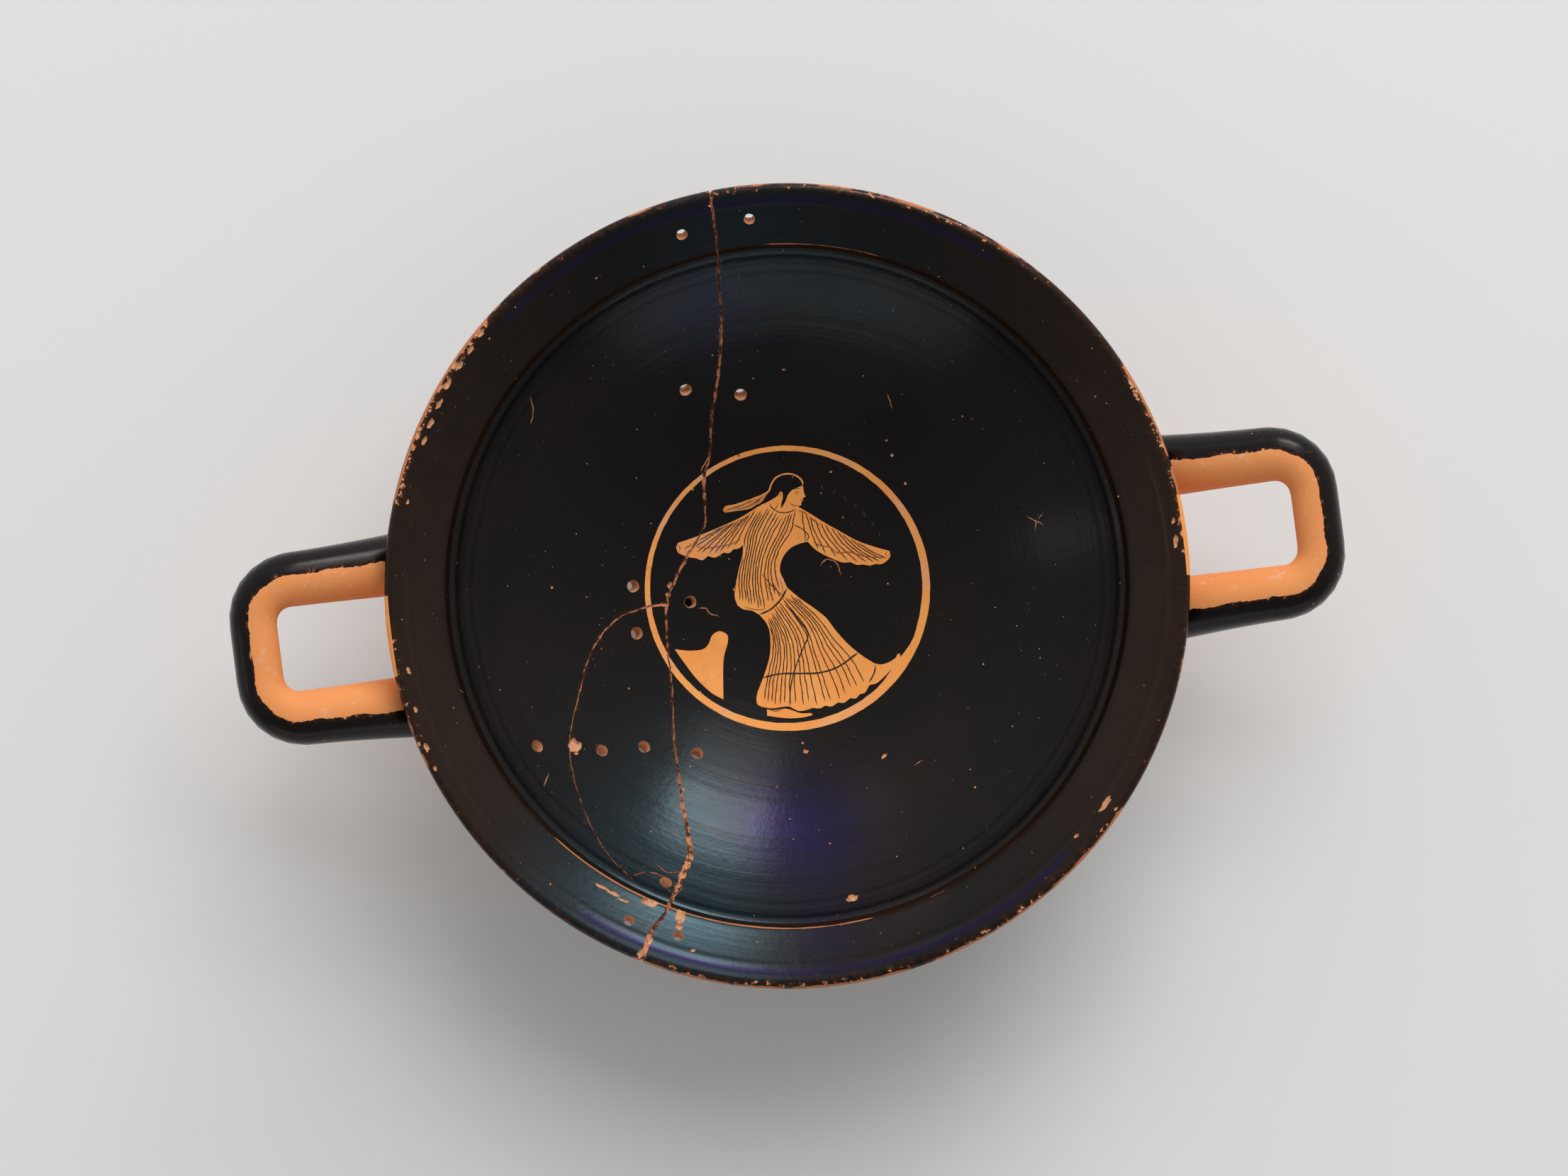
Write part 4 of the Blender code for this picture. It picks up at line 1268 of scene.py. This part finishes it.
def clayLook(recipe):
    # fired, unpainted clay: colour in soft patches with darker flecks; returns colour, height
    patches = recipe.noise(0.09, 3.0, 0.55)
    colour = recipe.between(recipe.step(patches, 0.35, 0.7), clayColours["clay"], clayColours["clayPale"])
    streaks = recipe.noise(0.35, 3.0, 0.6)
    colour = recipe.between(
        recipe.calc("MULTIPLY", recipe.step(streaks, 0.52, 0.78), 0.45), colour, clayColours["clayDull"],
    )
    flecks = recipe.specks(1.3, 0.11, 0.2)
    colour = recipe.between(recipe.calc("MULTIPLY", flecks, 0.55), colour, clayColours["rawDark"])
    grain = recipe.noise(3.2, 4.0, 0.65)
    return colour, grain


def crackedClay():
    # clay inside a crack: stretches dark with old dirt between stretches of fresh orange
    recipe = Recipe("cracked_clay")
    stretch = recipe.noise(0.42, 4.0, 0.65)
    fresh = recipe.step(stretch, 0.43, 0.54)
    colour = recipe.between(fresh, clayColours["crackDark"], clayColours["crackPale"])
    grain = recipe.noise(2.6, 4.0, 0.7)
    colour = recipe.between(recipe.calc("MULTIPLY", grain, 0.25), colour, clayColours["rawDark"])
    return recipe.finish(colour, recipe.calc("MULTIPLY_ADD", grain, 0.15, 0.78), grain, 0.15)


def rawClay():
    # broken clay in chips and cracks: pinkish and pale, darker with dirt in its hollows
    recipe = Recipe("raw_clay")
    patches = recipe.noise(0.8, 3.0, 0.6)
    colour = recipe.between(recipe.step(patches, 0.3, 0.65), clayColours["raw"], clayColours["rawPale"])
    dirt = recipe.calc("MULTIPLY", recipe.step(recipe.noise(0.5, 4.0, 0.7), 0.5, 0.72), 0.75)
    colour = recipe.between(dirt, colour, clayColours["rawDark"])
    grain = recipe.noise(2.6, 5.0, 0.7)
    roughness = recipe.calc("MULTIPLY_ADD", grain, 0.15, 0.78)
    return recipe.finish(colour, roughness, grain, 0.18)


def glossedClay():
    # Black gloss over clay. The clay number gives the reserved areas, the worn number where the
    # gloss has gone; marks of the wheel run in rings about the axis.
    recipe = Recipe("glossed_clay")
    flat = recipe.node("VectorMath", {0: recipe.place, 1: (1, 1, 0)}, operation="MULTIPLY").outputs[0]
    radius = recipe.node("VectorMath", {0: flat}, operation="LENGTH").outputs["Value"]
    radius = recipe.calc("MULTIPLY_ADD", recipe.noise(0.03, 1.0), 1.6, radius)
    handle = recipe.number("handle")

    edgeNoise = recipe.calc("SUBTRACT", recipe.noise(0.9, 3.0, 0.6), 0.5)
    clay = recipe.calc("MULTIPLY_ADD", edgeNoise, 0.8, recipe.number("clay"))
    reserved = recipe.step(clay, -0.06, 0.06)

    wornNoise = recipe.noise(0.55, 4.0, 0.68)
    wearing = recipe.calc("MULTIPLY_ADD", recipe.number("worn"), 0.62, wornNoise)
    edgeWear = recipe.calc("MULTIPLY", recipe.number("edge"), 0.26)
    worn = recipe.step(recipe.calc("ADD", wearing, edgeWear), 0.83, 0.87)
    thin = recipe.step(recipe.calc("ADD", wearing, edgeWear), 0.60, 0.86)
    smallSpecks = recipe.specks(2.4, 0.075, 0.22)
    largeSpecks = recipe.calc("MULTIPLY", recipe.specks(9.0, 0.036, 0.25), recipe.noise(0.5, 1.0))
    specks = recipe.calc("MAXIMUM", smallSpecks, recipe.step(largeSpecks, 0.2, 0.4))
    specks = recipe.calc("MAXIMUM", specks, recipe.specks(1.7, 0.055, 0.3, (1, 1, 1.4)))

    tone = recipe.noise(0.022, 2.0, 0.5)
    gloss = recipe.between(recipe.step(tone, 0.4, 0.7), glossColours["black"], (0.027, 0.0215, 0.0195))
    # brown on the lip's sides: partly the gloss's own tone, partly painted reflection
    brownSheenPatches = recipe.calc("MULTIPLY_ADD", recipe.noise(0.12, 3.0), 0.9, 0.4)
    brownToneAndSheen = recipe.calc("MULTIPLY", recipe.number("brownToneAndSheen"), brownSheenPatches)
    gloss = recipe.between(brownToneAndSheen, gloss, glossColours["brownToneAndSheen"])
    ringTone = recipe.calc("MULTIPLY_ADD", recipe.rings(radius, 0.5, 3.0), 0.8, 0.5)
    # painted reflections: the gloss turns teal and violet where the lamps are mirrored
    for tint in ("tealSheen", "violetSheen"):
        share = recipe.calc("MULTIPLY", recipe.number(tint), ringTone)
        gloss = recipe.between(share, gloss, glossColours[tint])
    gloss = recipe.between(recipe.calc("MULTIPLY", thin, 0.6), gloss, (0.13, 0.045, 0.020))
    handleStreak = recipe.calc("MULTIPLY", recipe.step(recipe.noise(0.4, 4.0, 0.7), 0.62, 0.72), handle)
    gloss = recipe.between(recipe.calc("MULTIPLY", handleStreak, 0.35), gloss, (0.20, 0.07, 0.035))

    clayColour, grain = clayLook(recipe)
    clayColour = recipe.between(recipe.calc("MULTIPLY", handle, 0.8), clayColour, clayColours["handle"])
    chalk = recipe.calc("MULTIPLY", recipe.step(recipe.noise(0.28, 4.0, 0.7), 0.56, 0.72), handle)
    clayColour = recipe.between(recipe.calc("MULTIPLY", chalk, 0.5), clayColour, (0.80, 0.52, 0.38))
    dulled = recipe.calc("MULTIPLY", recipe.calc("SUBTRACT", 1.0, handle), 0.1)
    clayColour = recipe.between(dulled, clayColour, clayColours["clayDull"])
    palePatches = recipe.step(recipe.noise(0.9, 2.0), 0.4, 0.6)
    rawColour = recipe.between(palePatches, clayColours["raw"], clayColours["rawPale"])

    stepLine = recipe.calc("MULTIPLY_ADD", recipe.noise(0.12, 3.0), 0.6, recipe.number("stepLine"))
    lineWorn = recipe.step(stepLine, 1.0, 1.12)
    strip = recipe.calc("MULTIPLY_ADD", recipe.noise(0.1, 5.0, 0.62), 1.1, recipe.number("strip"))
    lineWorn = recipe.calc("MAXIMUM", lineWorn, recipe.step(strip, 1.05, 1.12))
    bare = recipe.calc("MAXIMUM", worn, specks)
    colour = recipe.between(bare, gloss, rawColour)
    colour = recipe.between(lineWorn, colour, clayColours["edge"])
    bare = recipe.calc("MAXIMUM", bare, lineWorn)
    colour = recipe.between(reserved, colour, clayColour)
    open_ = recipe.calc("MAXIMUM", bare, reserved)

    wheel = recipe.rings(radius, 1.7, 3.0)
    broad = recipe.rings(radius, 0.22, 2.0)
    turned = recipe.calc("MULTIPLY_ADD", broad, 1.5, recipe.calc("MULTIPLY", wheel, 0.3))
    turned = recipe.calc("MULTIPLY", turned, recipe.calc("MULTIPLY_ADD", handle, -1.0, 1.0))
    brushed = recipe.noise(0.6, 3.0, 0.6)
    height = recipe.calc("MULTIPLY_ADD", brushed, 0.7, turned)
    height = recipe.calc("MULTIPLY_ADD", grain, recipe.blend(open_, 0.12, 0.9), height)
    height = recipe.calc("MULTIPLY_ADD", bare, -1.2, height)

    smear = recipe.calc("MULTIPLY_ADD", recipe.noise(0.05, 3.0, 0.6), 0.16, glossColours["roughness"] - 0.08)
    roughness = recipe.blend(open_, smear, recipe.calc("MULTIPLY_ADD", grain, 0.12, 0.60))
    metal = recipe.blend(open_, glossColours["metal"], 0.0)
    specular = glossColours["specular"]
    return recipe.finish(colour, roughness, height, 0.05, Metallic=metal, Specular_IOR_Level=specular)


def reservedClay():
    # the picture's clay, with a rosy tone where it is rubbed beside the crack
    recipe = Recipe("reserved_clay")
    colour, grain = clayLook(recipe)
    patches = recipe.step(recipe.noise(0.5, 4.0, 0.65), 0.38, 0.6)
    rubbed = recipe.calc("MULTIPLY", recipe.number("worn"), patches)
    colour = recipe.between(recipe.calc("MULTIPLY", rubbed, 0.75), colour, (0.70, 0.36, 0.24))
    pale = recipe.calc("MULTIPLY", recipe.step(recipe.noise(0.07, 2.0), 0.5, 0.65), recipe.number("ring"))
    colour = recipe.between(recipe.calc("MULTIPLY", pale, 0.4), colour, (0.78, 0.42, 0.26))
    roughness = recipe.calc("MULTIPLY_ADD", grain, 0.12, 0.56)
    return recipe.finish(colour, roughness, grain, 0.05, Specular_IOR_Level=0.3)


def lineGloss(name, strong, weak, roughness):
    # gloss drawn with a fine brush, thinning here and there
    recipe = Recipe(name)
    flow = recipe.noise(0.45, 3.0, 0.6)
    colour = recipe.between(recipe.step(flow, 0.45, 0.75), strong, weak)
    grain = recipe.noise(2.5, 2.0)
    return recipe.finish(colour, recipe.calc("MULTIPLY_ADD", grain, 0.1, roughness), grain, 0.02)


def studioFloor():
    # a plain pale sheet, all but even
    recipe = Recipe("studio_floor")
    soft = recipe.noise(0.004, 2.0)
    colour = recipe.between(soft, (0.86, 0.86, 0.865), (0.88, 0.88, 0.88))
    return recipe.finish(colour, recipe.calc("MULTIPLY_ADD", soft, 0.02, 0.9), None, Specular_IOR_Level=0.2)


# Building it

print("building the thrown cup")
working = bpy.data.collections.new("working")
bpy.context.scene.collection.children.link(working)
glossed, raw = glossedClay(), rawClay()
glossedCup = placed(thrownCup(cupSizes), None, glossed)
handleShapes = bpy.data.collections.new("handle_shapes")
working.children.link(handleShapes)
for side in (1, -1):
    placed(handleTube(handleSizes, cupSizes, side), handleShapes, glossed)
booleaned(glossedCup, handleShapes, "UNION")
print("with handles:", len(glossedCup.data.vertices), "vertices")

damage = bpy.data.collections.new("damage")
working.children.link(damage)
crackLines = damageShapes(damage, raw, crackedClay())
cracks = np.concatenate(crackLines)
booleaned(glossedCup, damage, "DIFFERENCE")
glossedCup.data.set_sharp_from_angle(angle=radians(36))
paintCup(glossedCup.data, crackLines)
print("cracks, chips and holes cut:", len(glossedCup.data.vertices), "vertices")

figureLoop = joinedCurves(figureOutline)
slabs = [slabMesh("figure", onPlan(figureLoop), pictureSizes)]
slabs.append(slabMesh("foot", onPlan(joinedCurves(frontFoot)), pictureSizes))
slabs.append(slabMesh("rock", onPlan(joinedCurves(rockOutline)), pictureSizes))
slabs.append(ringMesh(pictureSizes))
contour = ribbonRows(onPlan(curveThrough(headContour, 0.3)), 0.42, pictureSizes)
slabs.append(tubeMesh("contour", contour))
reserved = reservedClay()
reservedPicture = placed(merged(slabs, "reserved_picture"), None, reserved)
booleaned(reservedPicture, damage, "DIFFERENCE")
picturePoints = pointsOf(reservedPicture.data)[:, :2]
sleeve = np.exp(-(((picturePoints - onPlan([(-21.0, 12.0)])) / 6.5) ** 2).sum(-1))
waist = np.exp(-(((picturePoints - onPlan([(-1.5, 2.0)])) / 1.8) ** 2).sum(-1))
near = np.exp(-(nearest(picturePoints, cracks) / 1.6) ** 2)
store(reservedPicture.data, "worn", np.clip(np.maximum.reduce([sleeve, waist, near * 0.8]), 0, 1))
fromMiddle = np.linalg.norm(picturePoints - np.array(pictureSizes["middle"]), axis=1)
store(reservedPicture.data, "ring", (fromMiddle > 34.8).astype(float))
reservedPicture.data.shade_flat()
print("picture laid in the floor:", len(reservedPicture.data.polygons), "faces")

width = pictureSizes["pleatWidth"]
pleats = spacedLines(torsoGuides, pictureSizes["torsoPleats"], 5)
pleats += spacedLines(skirtGuides, pictureSizes["skirtPleats"], 6)
pleats += spacedLines(leftGuides, pictureSizes["leftPleats"], 7)
pleats += spacedLines(rightGuides, pictureSizes["rightPleats"], 8)
strong = [(line, width) for line in trimmed(pleats, figureLoop, 0.25)] + strongLines
reliefLines = placed(ribbonsMesh("relief_lines", strong, pictureSizes, cracks), None, lineGloss(
    "relief_line_gloss", (0.030, 0.014, 0.009), (0.085, 0.032, 0.014), 0.42,
))
thinned = placed(ribbonsMesh("thinned_lines", thinnedLines, pictureSizes, cracks), None, lineGloss(
    "thinned_gloss", (0.46, 0.15, 0.035), (0.30, 0.085, 0.022), 0.48,
))
trailing = slabMesh("trailing_hair", onPlan(joinedCurves(hairOutline)), {**pictureSizes, "raised": 0.022})
trailingHair = placed(trailing, None, lineGloss("hair_wash", (0.80, 0.30, 0.080), (0.48, 0.15, 0.040), 0.48))
trailingHair.data.shade_flat()
faded = placed(ribbonsMesh("faded_strokes", fadedStrokes(), pictureSizes, cracks), None, lineGloss(
    "faded_paint", (0.048, 0.042, 0.042), (0.030, 0.026, 0.027), 0.5,
))
print("lines drawn:", len(reliefLines.data.polygons), "faces")

for piece in (glossedCup, reservedPicture, reliefLines, thinned, trailingHair, faded):
    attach(piece, "root")
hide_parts("drinking_cup")
for shape in list(damage.objects) + list(handleShapes.objects):
    bpy.data.objects.remove(shape)
bpy.data.collections.remove(damage)
bpy.data.collections.remove(handleShapes)
bpy.data.collections.remove(working)


# Camera, floor and light, laid out along the picture's own right and up

pictureRight = Vector((cos(viewSizes["turn"]), -sin(viewSizes["turn"]), 0))
pictureUp = Vector((sin(viewSizes["turn"]), cos(viewSizes["turn"]), 0))
pictureTilt = (-0.83, -0.58, -9.4)    # target right and up of the axis, camera below the target


def facing(place, target, up):
    # a matrix at place whose -Z looks at the target with its Y near up
    back = (place - target).normalized()
    right = up.cross(back).normalized()
    turn = Matrix((right, back.cross(right), back)).transposed()
    return Matrix.Translation(place) @ turn.to_4x4()


def softbox(name, azimuth, elevation, distance, size, power, colour=(1, 1, 1)):
    # a light panel: azimuth from the picture's up towards its right, in degrees
    a, e = radians(azimuth), radians(elevation)
    level = pictureUp * cos(a) + pictureRight * sin(a)
    middle = Vector((0, 0, 50 * mm))
    place = middle + (level * cos(e) + Vector((0, 0, sin(e)))) * distance
    light = bpy.data.lights.new(name, "AREA")
    light.shape = "RECTANGLE"
    light.size, light.size_y = size
    light.energy = power
    light.color = colour
    lamp = bpy.data.objects.new(name, light)
    bpy.context.scene.collection.objects.link(lamp)
    lamp.matrix_world = facing(place, middle, Vector((0, 0, 1)))
    return lamp


rimMiddle = Vector((0, 0, cupSizes["height"] * mm))
target = rimMiddle + (pictureRight * pictureTilt[0] + pictureUp * pictureTilt[1]) * mm
cameraPlace = target + (pictureUp * pictureTilt[2] + Vector((0, 0, viewSizes["distance"]))) * mm
lens = bpy.data.cameras.new("above")
lens.sensor_width = 36
lens.lens = 117.5
camera = bpy.data.objects.new("above", lens)
bpy.context.scene.collection.objects.link(camera)
camera.matrix_world = facing(cameraPlace, target, pictureUp)
bpy.context.scene.camera = camera

floorCorners = 4000.0 * np.array([(-1, -1, 0), (1, -1, 0), (1, 1, 0), (-1, 1, 0)])
floorMesh = meshFrom("studio_floor", floorCorners, [np.array([[0, 1, 2, 3]])])
studio = placed(floorMesh, None, studioFloor())

softbox("key", 17, 25, 3.2, (1.15, 0.85), 23, (1.0, 0.985, 0.97))
softbox("keyAbove", 17, 42, 3.2, (1.15, 1.1), 8, (1.0, 0.985, 0.97))
softbox("beside", -21, 27, 3.2, (0.5, 0.9), 0.6, (0.96, 0.98, 1.0))
softbox("card", 180, 11, 2.4, (3.4, 0.75), 5, (0.93, 0.97, 1.0))
softbox("side", -100, 17, 2.4, (0.2, 0.6), 0.5)
shade = softbox("overhead", 16, 56, 3.4, (2.1, 1.5), 40)
shade.visible_glossy = False    # it lights clay and floor without a mirror image in the gloss
world = bpy.data.worlds.new("studio")
bpy.context.scene.world = world
world.use_nodes = True
sky = world.node_tree
direction = sky.nodes.new("ShaderNodeTexCoord").outputs["Generated"]
upward = sky.nodes.new("ShaderNodeVectorMath")
upward.operation = "DOT_PRODUCT"
upward.inputs[1].default_value = tuple(pictureUp * 0.8 + Vector((0, 0, -0.6)))
sky.links.new(direction, upward.inputs[0])
strength = sky.nodes.new("ShaderNodeMapRange")
for name, value in {"From Min": -0.9, "From Max": 0.7, "To Min": 0.25, "To Max": 0.80}.items():
    strength.inputs[name].default_value = value
sky.links.new(upward.outputs["Value"], strength.inputs["Value"])
sky.nodes["Background"].inputs[0].default_value = (1.0, 0.985, 0.965, 1)
sky.links.new(strength.outputs[0], sky.nodes["Background"].inputs[1])
bpy.context.scene.view_settings.view_transform = "Standard"
print("camera, floor and light set")
